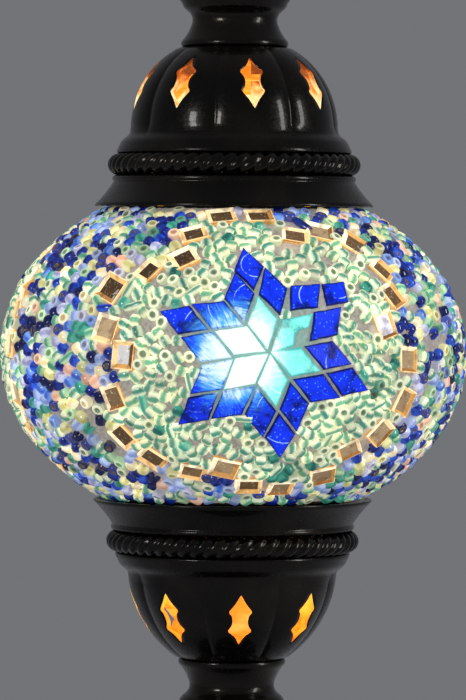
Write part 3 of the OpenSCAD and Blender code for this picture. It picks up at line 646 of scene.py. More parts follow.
def finial_piece():
    """The outside, then up the blind bore from below: one skin that starts and ends on the axis."""
    bore = np.array([[3.06 * mm, finial_low[2] + 15 * mm], [3.06 * mm, finial_low[2]]])
    profile = np.vstack([bore, finial_profile()])
    made = turned("onion_finial", profile, bronze, turns=96, closed=False)
    close_up(made)
    return settle(made, "finial_knob", "dark_metal", "finial")


finial_piece()

# %% [markdown]
# ## The foot
# The foot repeats the caps in a larger size: a flared skirt, a rope, and a lobed bell. It is
# heavy and closed below by a plate and a felt pad, and the mains lead would enter at the back.

# %% Bell and skirt of the foot
bell_high = box_of("foot_bell")[1]
skirt_low = box_of("foot_skirt")[0]
bell_base = foot_rope_high[2] + 7 * mm
bell_h = bell_high[2] - bell_base


def bell_rows():
    """The cap's rows in the foot's sizes, with no opening, in heights above the globe's middle."""
    band_r = (52.4, 52.5, 52.2, 51.6, 50.9, 50.1, 49.2, 48.5, 48.1, 47.95)
    under, over = foot_rope_low[2] + 0.1 * mm, foot_rope_high[2]
    rows = [(45.9 * mm, under, 0, 0, 0), (47.3 * mm, under, 0, 0, 0),
            (47.3 * mm, over, 0, 0, 0), (51.9 * mm, over, 0, 0, 0)]
    for k, r in enumerate(band_r):
        rows.append((r * mm, foot_rope_high[2] + (0.4 + 0.95 * k) * mm, 1.3 * mm * max(0, k - 6) / 3, 0, 0))
    heights = np.linspace(2.6 * mm, bell_h - 0.8 * mm, 22)
    for z in heights:
        r = float(dome_radius(48 * mm, bell_h, 19.4 * mm, z))
        rows.append((r, bell_base + z, 1.7 * mm * min(1.0, r / (40 * mm)), 0, 0))
    top = bell_high[2]
    rows += [(19.2 * mm, top - 0.05 * mm, 0.4 * mm, 0, 0), (18.4 * mm, top, 0, 0, 0),
             (5.3 * mm, top, 0, 0, 0), (5.3 * mm, top - wall, 0, 0, 1), (15 * mm, top - wall, 0, 0, 1)]
    for z in heights[:-1][::-1]:
        rows.append((float(dome_radius(48 * mm - wall, bell_h - wall, 19.4 * mm - wall, z)),
                     bell_base + z, 0, 0, 1))
    return [(r, z - globe_z, d, w, i) for r, z, d, w, i in rows]


lobed_cap("foot_dome", bell_rows(), False, math.radians(5.0), bronze, "base", "foot_bell")


def skirt_profile():
    """A trumpet flare: radius falls as (1 - s)^1.3, with a rounded lip on the table."""
    s = np.linspace(0, 1, 14)
    low_r, top_r, base, rise = 64.0 * mm, 54.4 * mm, skirt_low[2], 15.0 * mm
    r = top_r + (low_r - top_r) * (1 - s) ** 1.3
    z = base + rise * s
    inner = np.stack([r - wall, z], 1)[::-1][1:]
    web = np.array([[45.8 * mm, base + rise], [45.8 * mm, base + rise - wall]])
    return np.vstack([np.stack([r, z], 1), web, inner])


settle(turned("foot_flare", settled(skirt_profile()), bronze, turns=160), "base", "dark_metal",
       "foot_skirt")

# %% [markdown]
# ## Laying the mosaic
# A place in the mosaic is given by two lengths on the globe's face: u along the parallel and v up
# the meridian, both from the middle of a star. The face is an oblate ball, so v is an arc of an
# ellipse, and the arc has no closed formula: a table of its length is made once and read back.

# %% Places on the globe
t_table = np.linspace(-1.35, 1.35, 4001)
arc_step = np.hypot(face_a * np.sin(t_table), face_b * np.cos(t_table)) * (t_table[1] - t_table[0])
arc_table = np.cumsum(arc_step) - np.cumsum(arc_step)[2000]
first_turn = math.radians(8.4)
star_turns = first_turn + np.arange(3) * 2 * math.pi / 3
rise = 2.5 * mm


def stand(u, v, turn, up=rise):
    """For places u, v round the azimuth turn: the point on the glass, and three unit vectors, along
    the parallel, up the meridian, and outwards along the ellipsoid's normal (cos t / a, sin t / b)."""
    u, v, turn = np.broadcast_arrays(np.asarray(u, float), v, turn)
    t = np.interp(v + up, arc_table, t_table)
    phi = turn + u / (face_a * np.cos(t))
    spin = np.stack([np.sin(phi), -np.cos(phi)], -1)
    out, rise_part = np.cos(t) / globe_a, np.sin(t) / globe_b
    size = np.hypot(out, rise_part)
    normal = np.concatenate([spin * (out / size)[..., None], (rise_part / size)[..., None]], -1)
    along = np.stack([np.cos(phi), np.sin(phi), 0 * phi], -1)
    point = np.concatenate([spin * (globe_a * np.cos(t))[..., None],
                            (globe_z + globe_b * np.sin(t))[..., None]], -1)
    return point, along, np.cross(normal, along), normal


def unroll(points):
    """The reverse of stand() for points near the face: u, v and the number of the nearest star."""
    phi = np.arctan2(points[:, 0], -points[:, 1])
    t = np.arctan2((points[:, 2] - globe_z) / face_b, np.hypot(points[:, 0], points[:, 1]) / face_a)
    away = (phi[:, None] - star_turns[None, :] + math.pi) % (2 * math.pi) - math.pi
    star = np.argmin(np.abs(away), 1)
    u = away[np.arange(len(points)), star] * face_a * np.cos(t)
    return u, np.interp(t, t_table, arc_table) - rise, star


# %% [markdown]
# ## Star tiles and chips, as outlines
# Twenty-four rhombi make a star: six pale ones in the middle and eighteen cobalt ones in the
# points. They are snapped by hand from strips of cathedral glass, so no two are quite alike. In the
# front star the upper right point was filled with offcuts, and one pale tile lost a corner. Each
# outline is a short list of corners; small seeded turns and shifts stand for the hand.

# %% Outlines of the tiles
rng = np.random.default_rng(11)
side = 11.8 * mm
offcuts = [("cobalt", [(8.4, 22.1), (7.1, 13.3), (16.9, 14.4), (18.9, 22.9)]),
           ("cobalt", [(19.7, 22.8), (19.6, 15.0), (27.9, 16.1), (27.9, 23.6)]),
           ("cobalt", [(15.9, 12.9), (13.5, 3.2), (23.4, 5.1), (25.7, 14.6)]),
           ("pale", [(0.9, -0.3), (7.9, 1.6), (8.4, 3.7), (9.3, 6.1), (11.2, 7.3), (13.6, 8.0),
                     (15.2, 12.4), (4.5, 10.3)])]


def star_outlines(number):
    """Corners of every tile of one star, anticlockwise, as (colour, middle, corners)."""
    tiles = []
    for point in range(6):
        turn = math.radians(100 + 60 * point)
        one = side * np.array([math.cos(turn - math.pi / 6), math.sin(turn - math.pi / 6)])
        two = side * np.array([math.cos(turn + math.pi / 6), math.sin(turn + math.pi / 6)])
        if number == 0 and point == 5:
            for colour, corners in offcuts:
                corners = np.array(corners) * 1.045 * mm
                middle = np.array([6.8, 6.8]) * mm if len(corners) > 4 else corners.mean(0)
                tiles.append((colour, middle, corners))
            continue
        for i, j in ((0, 0), (0, 1), (1, 0), (1, 1)):
            corners = np.array([i * one + j * two, (i + 1) * one + j * two,
                                (i + 1) * one + (j + 1) * two, i * one + (j + 1) * two])
            middle = corners.mean(0)
            a = math.radians(rng.uniform(-2.2, 2.2))
            spin = np.array([[math.cos(a), math.sin(a)], [-math.sin(a), math.cos(a)]])
            corners = (corners - middle) * (0.915 + rng.uniform(-0.03, 0.012)) @ spin + middle
            corners = corners + rng.uniform(-0.22, 0.22, (4, 2)) * mm
            tiles.append(("cobalt" if i or j else "pale", middle, corners))
    return tiles


stars = [star_outlines(k) for k in range(3)]
# front ring, as laid: place (u, v from the equator) in mm, and how pale a painted reflection makes its window
front_chips = np.array([
    (-22.8, 49.7, .1), (-11.6, 61.0, .2), (1.7, 61.2, .2), (-27.5, 37.5, .05), (-40.7, 32.0, .05),
    (-55.9, 24.5, .1), (-58.2, 9.7, .6), (-51.2, 0.8, .9), (-55.0, -13.6, .35), (-50.8, -28.9, .15),
    (-38.8, -38.7, .2), (-23.4, -45.5, .35), (-12.5, -43.1, .5), (-2.9, -53.6, .3),
    (8.8, -55.1, .4), (23.9, -48.0, .4), (32.4, -34.7, .5), (45.7, -27.1, .5), (55.3, -15.4, .45),
    (56.0, -0.6, .5), (45.3, 11.2, 1.), (50.2, 21.9, .3), (47.4, 32.5, .3), (36.6, 44.8, .3),
    (23.0, 51.2, .5), (13.2, 48.9, .3)])


def chip_ring(number):
    """Rows of (u, v, turn, half length, half width, painted reflection in the window) for one ring."""
    if number == 0:
        u, v, tone = front_chips.T
        u, v = u * mm, v * mm - rise
    else:
        a = np.linspace(0, 2 * math.pi, 25, endpoint=False) + rng.uniform(-0.04, 0.04, 25)
        r = (55 + rng.uniform(-2.5, 2.5, 25)) * mm
        u, v, tone = r * np.cos(a), r * np.sin(a), rng.uniform(0, 0.7, 25)
    turn = np.arctan2(v, u) + np.radians(rng.uniform(-7, 7, len(u)))
    long_side = rng.uniform(4.55, 5.05, len(u)) * mm
    wide = long_side * np.where(rng.random(len(u)) < 0.35, 0.84, 0.97)
    return np.stack([u, v, turn, wide, long_side, tone], -1)


rings = [chip_ring(k) for k in range(3)]


def chip_corners(ring):
    c, s = np.cos(ring[:, 2]), np.sin(ring[:, 2])
    signs = np.array([(-1, -1), (1, -1), (1, 1), (-1, 1)])
    x, y = signs[:, 0] * ring[:, 3:4], signs[:, 1] * ring[:, 4:5]
    return np.stack([ring[:, :1] + x * c[:, None] - y * s[:, None],
                     ring[:, 1:2] + x * s[:, None] + y * c[:, None]], -1)


# %% [markdown]
# Beads and plaster need to know how far they are from the nearest cut piece. For a convex outline
# that distance is the greatest of the distances to its sides' lines, counted positive outside.


# %% Distance to the cut pieces
def fence_of(corners):
    """The broken tile's fence goes round its missing corner too, so that no bead lies in it."""
    whole = np.array([(0.9, -0.3), (13.6, 3.0), (15.9, 12.9), (4.7, 10.8)]) * mm
    return corners if len(corners) == 4 else whole


fences = [np.concatenate([np.array([fence_of(c) for _, _, c in stars[k]]), chip_corners(rings[k])])
          for k in range(3)]
fence_count = [len(stars[k]) for k in range(3)]


def off_pieces(u, v, star):
    """Distance to the nearest outline, the way out of it (du, dv), and distance to the tiles alone."""
    far, way, tiles = np.full(len(u), 1.0), np.zeros((len(u), 2)), np.full(len(u), 1.0)
    for k in range(3):
        chosen = np.flatnonzero(star == k)
        p = np.stack([u[chosen], v[chosen]], -1)
        a = fences[k]
        edge = np.roll(a, -1, 1) - a
        n = np.stack([edge[..., 1], -edge[..., 0]], -1)
        n /= np.linalg.norm(n, axis=-1, keepdims=True)
        d = np.einsum("pkd,nd->npk", n, p) - np.einsum("pkd,pkd->pk", n, a)[None]
        each = d.max(2)
        near = each.argmin(1)
        rows = np.arange(len(chosen))
        far[chosen] = each[rows, near]
        way[chosen] = n[near, d[rows, near].argmax(1)]
        tiles[chosen] = each[:, :fence_count[k]].min(1)
    return far, way, tiles


# %% [markdown]
# ## Cut glass tiles
# Each tile is a flat piece of glass, so it lies in the plane that touches the globe under its
# middle. Its outline is cut into short lengths with a little unevenness, and carried through
# five rings: the bottom, the side, a worn edge, the face just inside it, and the face further in.
# A number on each ring tells the glass how near its edge it is, so that the glass can paint
# shade along the cut edges.


# %% Solid tiles from outlines
def tile_arrays(corners, middle, turn, base, top, tilt):
    """Rings shrink towards the middle m: p = m + k (q - m). Returns points, faces, edge numbers,
    and each point's place in the star."""
    cut = 5
    s = np.arange(cut) / cut
    nxt = np.roll(corners, -1, 0)
    line = (corners[:, None] * (1 - s)[None, :, None] + nxt[:, None] * s[None, :, None])
    away = np.stack([(nxt - corners)[:, 1], -(nxt - corners)[:, 0]], -1)
    away /= np.linalg.norm(away, axis=1, keepdims=True)
    uneven = rng.normal(0, 0.07 * mm, (len(corners), cut, 1))
    line = line + away[:, None, :] * uneven * (s > 0)[None, :, None]
    q = line.reshape(-1, 2) - middle
    reach = np.linalg.norm(q, axis=1, keepdims=True)
    levels = ((0.0, base, 0.0), (0.0, top - 0.35 * mm, 0.0), (0.22 * mm, top - 0.04 * mm, 0.1),
              (0.5 * mm, top, 0.3), (1.5 * mm, top, 1.0))
    flat, lift, edge = [], [], []
    for inset, height, number in levels:
        flat.append(q * (1 - inset / np.maximum(reach, 2 * mm)))
        lift.append(np.full(len(q), height))
        edge.append(np.full(len(q), number))
    flat = np.vstack(flat + [np.zeros((2, 2))])
    above = np.arange(len(flat)) >= len(q)
    lift = np.concatenate(lift + [[base, top]]) + np.where(above, 1, 0) * (flat @ tilt)
    edge = np.concatenate(edge + [[0.0, 1.0]])
    point, along, up, normal = stand(middle[0], middle[1], turn)
    points = point + flat[:, :1] * along + flat[:, 1:] * up + lift[:, None] * normal
    n, j = len(q), np.arange(len(q))
    quads = grid_faces(len(levels), n, wrap_cols=True)
    low = np.stack([(j + 1) % n, j, np.full(n, 5 * n)], -1)
    high = np.stack([4 * n + j, 4 * n + (j + 1) % n, np.full(n, 5 * n + 1)], -1)
    return points, quads, np.vstack([low, high]), edge, flat + middle


def build_tiles(colour):
    points, quads, triangles, edges, places, bows, count = [], [], [], [], [], [], 0
    for k in range(3):
        for kind, middle, corners in stars[k]:
            tilt = rng.normal(0, 0.018, 2)
            top = mosaic_t - 0.3 * mm + rng.uniform(-0.12, 0.08) * mm
            made = tile_arrays(corners, middle, star_turns[k], plaster_t + 0.3 * mm, top, tilt)
            a = rng.uniform(0, 2 * math.pi)
            radius = rng.uniform(5, 11)
            bow = made[4] / mm - middle / mm
            bow = bow - (radius - rng.uniform(-1, 2.5)) * np.array([math.cos(a), math.sin(a)])
            seed = rng.uniform(0, 1)
            if kind != colour:
                continue
            points.append(made[0])
            quads.append(made[1] + count)
            triangles.append(made[2] + count)
            edges.append(made[3])
            one = np.ones(len(bow))
            places.append(np.column_stack([made[4] / mm, seed * one, one]))
            bows.append(np.column_stack([bow, (radius if rng.random() < 0.45 else 0.0) * one, one]))
            count += len(made[0])
    made = mesh_object("star_glass_" + colour, np.concatenate(points),
                       [np.concatenate(quads), np.concatenate(triangles)], smooth=False)
    paint_points(made, "inward", np.concatenate(edges))
    paint_points(made, "place", np.concatenate(places))
    paint_points(made, "bow", np.concatenate(bows))
    return made


# %% [markdown]
# The lamp is lit, and its glass has two looks at once: its own colour, and the bulb's light coming
# through it. The light is strongest where the bulb stands behind, a little left of the front
# star's middle, and there even cobalt turns to azure and white. Inside the glass are reamy
# streaks, seed bubbles and long curved scratches from the rolling table.


# %% Glass that carries the bulb's light
def lit_glass(name, deep, body, bright, white, reach, streaks):
    """Painted light and shade: deep at the cut edges and in painted shade patches away from the hot spot,
    body in the face, bright and white towards the hot spot.
    """
    r = Recipe(name)
    place = r.painted("place")
    parts = r.add("SeparateXYZ", Vector=place.outputs["Vector"])
    seed = parts.outputs[2]
    spot = r.add("VectorMath", {"operation": "SUBTRACT"}, i0=place.outputs["Vector"], i1=(-10.5, -1.5, 0.5))
    flat = r.add("VectorMath", {"operation": "MULTIPLY"}, i0=spot.outputs[0], i1=(1.0, 0.9, 0.0))
    away = r.add("VectorMath", {"operation": "LENGTH"}, i0=flat.outputs[0]).outputs["Value"]
    w = r.sum("MULTIPLY", seed, 40.0)
    cloud = r.add("TexNoise", {"noise_dimensions": "4D"}, Vector=place.outputs["Vector"], W=w, Scale=0.16,
                  Detail=4.0, Roughness=0.6).outputs[0]
    turned_by = r.add("VectorRotate", {"rotation_type": "Z_AXIS"}, Vector=place.outputs["Vector"],
                      Angle=r.sum("MULTIPLY", seed, 9.0))
    drawn = r.add("VectorMath", {"operation": "MULTIPLY"}, i0=turned_by.outputs[0], i1=(0.22, 1.1, 0.0))
    ream = r.add("TexNoise", {"noise_dimensions": "4D"}, Vector=drawn.outputs[0], W=w, Scale=1.0,
                 Detail=4.0, Roughness=0.7).outputs[0]
    ragged = r.sum("ADD", r.sum("MULTIPLY", r.sum("SUBTRACT", cloud, 0.5), 16.0),
                   r.sum("MULTIPLY", r.sum("SUBTRACT", ream, 0.5), 16.0))
    near = r.step(r.sum("ADD", away, ragged), reach[0], reach[1], 1.0, 0.0)
    streak = r.step(ream, 0.60, 0.72)
    drive = r.sum("ADD", r.sum("MULTIPLY", near, 0.9), streaks)
    share = r.sum("ADD", near, r.sum("MULTIPLY", streak, drive), clamp=True)
    colours = r.add("ValToRGB", Fac=share)
    ramp = colours.color_ramp
    ramp.elements[0].color, ramp.elements[1].color = body, white
    ramp.elements.new(0.16).color = tuple(0.72 * b + 0.28 * c for b, c in zip(body, bright))
    ramp.elements.new(0.5).color = bright
    bow = r.painted("bow").outputs["Vector"]
    bow_parts = r.add("SeparateXYZ", Vector=bow)
    ring = r.add("VectorMath", {"operation": "MULTIPLY"}, i0=bow, i1=(1, 1, 0))
    ring = r.add("VectorMath", {"operation": "LENGTH"}, i0=ring.outputs[0]).outputs["Value"]
    scratch = r.step(r.sum("ABSOLUTE", r.sum("SUBTRACT", ring, bow_parts.outputs[2])), 0.06, 0.22, 1.0, 0.0)
    scratch = r.sum("MULTIPLY", scratch, r.step(cloud, 0.42, 0.56))
    cells = r.add("TexVoronoi", Vector=place.outputs["Vector"], Scale=0.85, Randomness=1.0)
    few = r.step(r.add("SeparateColor", Color=cells.outputs["Color"]).outputs[0], 0.38, 0.43)
    seeds = r.sum("MULTIPLY", r.step(cells.outputs["Distance"], 0.12, 0.3, 1.0, 0.0), few)
    colour = r.mix(r.sum("MULTIPLY", r.sum("MAXIMUM", scratch, seeds), 0.75), colours.outputs[0], bright)
    colour = r.mix(r.sum("MULTIPLY", scratch, 0.5), colour, white)
    uneven = r.sum("ADD", r.sum("MULTIPLY", cloud, 0.7), r.sum("MULTIPLY", ream, 0.3))
    uneven = r.step(uneven, 0.36, 0.62, 0.42, 1.1)
    inward = r.painted("inward").outputs["Fac"]
    # Painted shade: the cut edges turn deep, less so near the hot spot, and cloudy patches away from the hot
    # spot darken towards deep too.
    rim = r.sum("ADD", r.step(inward, 0.05, 0.75, 0.0, 1.0), r.sum("MULTIPLY", near, 0.6), clamp=True)
    shade_patches = r.sum("MULTIPLY", r.step(cloud, 0.47, 0.36), r.sum("SUBTRACT", 1.0, near))
    colour = r.mix(r.sum("MULTIPLY", shade_patches, 0.75), colour, deep)
    colour = r.mix(rim, deep, colour)
    r.join(colour, r.shader.inputs["Base Color"])
    r.join(colour, r.shader.inputs["Emission Color"])
    r.join(r.sum("MULTIPLY", r.sum("MAXIMUM", uneven, near), 0.92), r.shader.inputs["Emission Strength"])
    r.set(Roughness=0.16, IOR=1.5, Specular_IOR_Level=0.3)
    r.bump(r.sum("ADD", ream, r.sum("MULTIPLY", seeds, 0.6)), 0.5, 0.0005)
    return r.material


cobalt = build_tiles("cobalt")
cobalt.data.materials.append(lit_glass("cobalt_cathedral", rgb(4, 12, 84), rgb(14, 46, 216),
                                       rgb(70, 156, 250), rgb(214, 242, 255), (7.0, 20.0), 0.22))
settle(cobalt, "globe", "cobalt_glass", "star_tiles_cobalt")
pale = build_tiles("pale")
pale.data.materials.append(lit_glass("turquoise_cathedral", rgb(70, 165, 165), rgb(120, 228, 214),
                                     rgb(180, 246, 236), rgb(246, 255, 253), (9.0, 21.0), 0.35))
settle(pale, "globe", "turquoise_glass", "star_tiles_turquoise")

# %% [markdown]
# ## Bevelled chips
# The chips are small bevelled mirrors' offcuts in amber glass. The bevels catch the bulb and glow
# cream and gold, and the flat middle shows the dark plaster behind it, so each chip looks like a
# picture frame. It is built that way: a bevel sloping inwards on all sides, down to a window.

# %% Chips
chip_levels = ((0.0, 1.6, 0), (0.0, 2.95, 1), (0.22, 3.45, 2), (0.5, 3.55, 3), (1.6, 2.8, 4))


def build_chips():
    """Rings of a rectangle at the heights and insets of chip_levels, then the window across the last
    ring. Each side of a bevel is painted lighter or darker gold by the way it faces: painted light and shade."""
    ring = np.concatenate(rings)
    turn = np.repeat(star_turns, [len(r) for r in rings])
    n = len(ring)
    base, along, up, normal = stand(ring[:, 0], ring[:, 1], turn)
    c, s = np.cos(ring[:, 2])[:, None], np.sin(ring[:, 2])[:, None]
    x_way, y_way = c * along + s * up, c * up - s * along
    signs = np.array([(-1, -1), (1, -1), (1, 1), (-1, 1)], float)
    tilt = rng.normal(0, 0.05, (n, 2))
    slip = rng.uniform(0.75, 1.3, (n, 4))
    points = []
    for inset, height, _ in chip_levels:
        x = signs[None, :, 0] * (ring[:, 3:4] - inset * mm * np.where(inset > 1, slip[:, [0, 1, 1, 0]], 1))
        y = signs[None, :, 1] * (ring[:, 4:5] - inset * mm * np.where(inset > 1, slip[:, [2, 2, 3, 3]], 1))
        lift = height * mm + (x * tilt[:, :1] + y * tilt[:, 1:]) * (height > 2)
        points.append(base[:, None] + x[..., None] * x_way[:, None] + y[..., None] * y_way[:, None]
                      + lift[..., None] * normal[:, None])
    points = np.stack(points, 1).reshape(-1, 3)
    one = grid_faces(5, 4, wrap_cols=True)
    caps = np.array([[3, 2, 1, 0], [16, 17, 18, 19]])
    cell = np.vstack([one, caps])
    faces = (cell[None] + 20 * np.arange(n)[:, None, None]).reshape(-1, 4)
    made = mesh_object("bevelled_chips_laid", points, [faces], smooth=False)
    gold = np.array([rgb(255, 240, 205), rgb(250, 212, 150), rgb(226, 170, 95), rgb(150, 100, 48),
                     rgb(92, 60, 32)])
    tint = np.ones((n, len(cell), 4))
    face_way = np.array([(0, -1), (1, 0), (0, 1), (-1, 0)], float)
    world = face_way[None, :, :1] * np.stack([c[:, 0], s[:, 0]], -1)[:, None] \
        + face_way[None, :, 1:] * np.stack([-s[:, 0], c[:, 0]], -1)[:, None]
    # Painted light and shade: a bevel side is lighter the more it faces up and left, with some noise; the
    # outer walls are always shaded.
    lit = world @ np.array([-0.45, 0.65]) + rng.normal(0, 0.30, (n, 4))
    scale = np.arange(5)
    for level in range(4):
        level_lit = {0: -0.5 + 0 * lit, 1: 0.6 * lit + 0.1, 2: 0.55 + 0.3 * lit, 3: lit}[level]
        where = np.clip(1.45 - 1.9 * level_lit, 0, 4)
        for channel in range(3):
            tint[:, level * 4:level * 4 + 4, channel] = np.interp(where, scale, gold[:, channel])
    # Painted reflection: the window runs from dark brown to pale grey-lavender as its number rises.
    tone = ring[:, 5]
    glass = np.array([rgb(40, 31, 22), rgb(92, 70, 46), rgb(170, 146, 112), rgb(178, 172, 162),
                      rgb(216, 216, 230)])
    for channel in range(3):
        tint[:, -1, channel] = np.interp(tone, [0, 0.3, 0.6, 0.85, 1.0], glass[:, channel])
        tint[:, -2, channel] = 0.1
    layer = made.data.attributes.new("tint", "FLOAT_COLOR", "FACE")
    layer.data.foreach_set("color", tint.reshape(-1).astype(np.float32))
    return made


def chip_glass():
    r = Recipe("amber_bevels")
    tint = r.painted("tint").outputs["Color"]
    broad = r.noise(0.28, 3).outputs[0]
    fine = r.noise(1.1, 4, rough=0.65).outputs[0]
    colour = r.mix(r.step(fine, 0.56, 0.74, 0.0, 0.6), tint, r.mix(0.65, tint, rgb(255, 244, 214)))
    colour = r.mix(r.step(broad, 0.48, 0.68, 0.0, 0.5), colour, rgb(84, 52, 22))
    r.join(colour, r.shader.inputs["Base Color"])
    r.join(colour, r.shader.inputs["Emission Color"])
    r.set(Roughness=0.1, Emission_Strength=0.8, Specular_IOR_Level=0.4)
    r.bump(r.noise(0.5, 3).outputs[0], 0.35, 0.0006)
    return r.material


chips = build_chips()
chips.data.materials.append(chip_glass())
settle(chips, "globe", "amber_glass", "bevelled_chips")

# %% [markdown]
# ## Seed beads
# Real beads are poured on wet plaster and pressed flat by hand: most lie on their sides, about a
# fifth stand on end and show their holes, and they sit as close as they can. Dropping them in a
# physics engine would pile them up. Instead they are scattered over the globe's face and
# pushed apart, again and again, until neighbours just touch; the cut pieces push them too.


# %% Where the beads lie
def relaxed_places(spacing, rounds, seed):
    """Each pair nearer than the spacing moves apart by a share of its overlap, along the line
    between the two; then every bead is put back on the face and outside the cut pieces."""
    draw = np.random.default_rng(seed)
    rim = 44.5 * mm
    t_rim = math.acos(rim / face_a)
    table = np.linspace(-t_rim, t_rim, 2001)
    area = np.cumsum(face_a * np.cos(table) * np.hypot(face_a * np.sin(table), face_b * np.cos(table)))
    whole = 2 * math.pi * area[-1] * (table[1] - table[0])
    count = int(whole / (spacing ** 2 * 0.866))
    t = np.interp(draw.random(count) * area[-1], area, table)
    phi = draw.random(count) * 2 * math.pi
    x = np.stack([face_a * np.cos(t) * np.sin(phi), -face_a * np.cos(t) * np.cos(phi),
                  face_b * np.sin(t)], -1)
    centre = np.array([0, 0, globe_z])
    u, v, star = unroll(x + centre)
    free = off_pieces(u, v, star)[0] > 0.2 * mm
    x = x[free]
    for _ in range(rounds):
        gap = x[:, None].astype(np.float32) - x[None].astype(np.float32)
        d = np.sqrt((gap ** 2).sum(-1)) + 1e-9
        np.fill_diagonal(d, 1.0)
        push = np.clip(spacing - d, 0, None) / d
        x = x + 0.22 * (gap * push[..., None]).sum(1)
        for _ in range(2):
            u, v, star = unroll(x + centre)
            far, way, _tiles = off_pieces(u, v, star)
            move = np.clip(1.75 * mm - far, 0, None)[:, None] * way
            v = np.clip(v + move[:, 1], -64.8 * mm - rise, 64.8 * mm - rise)
            t = np.interp(v + rise, arc_table, t_table)
            phi = star_turns[star] + (u + move[:, 0]) / (face_a * np.cos(t))
            x = np.stack([face_a * np.cos(t) * np.sin(phi), -face_a * np.cos(t) * np.cos(phi),
                          face_b * np.sin(t)], -1)
    u, v, star = unroll(x + centre)
    far = off_pieces(u, v, star)[0]
    gap = np.linalg.norm(x[:, None].astype(np.float32) - x[None].astype(np.float32), axis=-1)
    np.fill_diagonal(gap, 1.0)
    crowded = (np.triu(gap < 0.70 * spacing, 1)).any(0)
    keep = (far > 1.15 * mm) & ~crowded & (draw.random(len(far)) > 0.045)
    print("beads laid:", keep.sum(), "of", count)
    return u[keep], v[keep], star[keep]


bead_u, bead_v, bead_star = relaxed_places(4.5 * mm, 36, 5)


def ring_reach(u, v, star):
    """How far inside its ring of chips a place is: the chip ring's own radius in that direction,
    read from the chips' polar places, less the place's radius."""
    reach = np.zeros(len(u))
    for k in range(3):
        chosen = star == k
        angle = np.arctan2(rings[k][:, 1], rings[k][:, 0])
        order = np.argsort(angle)
        radius = np.hypot(rings[k][:, 0], rings[k][:, 1])[order]
        here = np.arctan2(v[chosen], u[chosen])
        edge = np.interp(here, angle[order], radius, period=2 * math.pi)
        reach[chosen] = edge - np.hypot(u[chosen], v[chosen])
    return reach


inside_ring = ring_reach(bead_u, bead_v, bead_star) > 0

# %% [markdown]
# A bead is a short glass tube with rounded ends. The green ones are clear glass lined with colour,
# so from above a green line runs between two pale sides, and from the end there is a pale ring
# round a dark hole. The number `from_core` says where a point is across the bead, and the
# finish turns it into that line and ring.

# %% One bead's shape, repeated
profile_r = np.array([0.27, 0.78, 1.0, 1.0, 0.78, 0.27])
profile_z = np.array([-0.43, -0.5, -0.30, 0.30, 0.5, 0.43])


def bead_batch(name, chosen, seed, palette, weights):
    """Points c + R p_r (cos q e1 + sin q e2) + L p_z e3 for every bead at once."""
    draw = np.random.default_rng(seed)
    n, seg = len(chosen), 10
    base, along, up, normal = stand(bead_u[chosen], bead_v[chosen], star_turns[bead_star[chosen]])
    on_end = draw.random(n) < 0.21
    bugle = (draw.random(n) < 0.025) & ~on_end
    radius = np.where(bugle, 1.4, draw.uniform(2.02, 2.3, n)) * mm
    length = np.where(bugle, draw.uniform(5.8, 7.4, n), draw.uniform(3.0, 4.1, n)) * mm
    length = np.where(on_end, draw.uniform(2.7, 3.2, n) * mm, length)
    a = draw.random(n) * 2 * math.pi
    flat = np.cos(a)[:, None] * along + np.sin(a)[:, None] * up
    lean_by = draw.normal(0, 0.13, (n, 2))
    axis = np.where(on_end[:, None], normal, flat) + lean_by[:, :1] * along + lean_by[:, 1:] * up
    axis = axis + np.where(on_end, 0, draw.normal(0, 0.12, n))[:, None] * normal
    axis /= np.linalg.norm(axis, axis=1, keepdims=True)
    e1 = np.where(on_end[:, None], along, normal)
    e1 = e1 - (e1 * axis).sum(1, keepdims=True) * axis
    e1 /= np.linalg.norm(e1, axis=1, keepdims=True)
    e2 = np.cross(axis, e1)
    lift = np.where(on_end, length / 2 + 0.95 * mm, radius + 0.05 * mm + np.where(bugle, 1.0 * mm, 0))
    highest = mosaic_t + 0.35 * mm - np.where(on_end, length / 2, radius)
    lift = np.minimum(lift + draw.uniform(0, 0.3, n) * mm, highest)
    centre = base + lift[:, None] * normal
    q = np.linspace(0, 2 * math.pi, seg, endpoint=False)
    ring = (np.cos(q)[None, :, None] * e1[:, None] + np.sin(q)[None, :, None] * e2[:, None])
    out = radius[:, None, None, None] * profile_r[None, :, None, None] * ring[:, None]
    on = length[:, None, None, None] * profile_z[None, :, None, None] * axis[:, None, None]
    points = centre[:, None, None] + out + on
    faces = grid_faces(6, seg, True, True)
    faces = (faces[None] + 6 * seg * np.arange(n)[:, None, None]).reshape(-1, 4)
    made = mesh_object(name, points.reshape(-1, 3), [faces])
    across = np.where(on_end[:, None, None], np.array([0, 0.8, 1, 1, 0.8, 0])[None, :, None] + 0 * q,
                      np.abs(np.sin(q))[None, None, :] * np.array([0, 1, 1, 1, 1, 0])[None, :, None])
    paint_points(made, "from_core", across.reshape(-1))
    pick = draw.choice(len(palette), n, p=np.array(weights) / np.sum(weights))
    body = np.array([b for b, _ in palette])[pick]
    core = np.array([c for _, c in palette])[pick]
    # A standing bead's hole takes its core colour mixed with brown-olive: its own colour, with painted shade
    # down the hole.
    core = np.where(on_end[:, None], 0.45 * core + 0.55 * np.array(rgb(120, 104, 62)), core)
    shade = draw.normal(1.0, 0.15, n).clip(0.65, 1.35)[:, None] * [1, 1, 1, 0] + [0, 0, 0, 1]
    spread = lambda rows: np.repeat(rows, 6 * seg, 0)
    paint_points(made, "body", spread(body * shade))
    paint_points(made, "core", spread(core * shade))
    return made


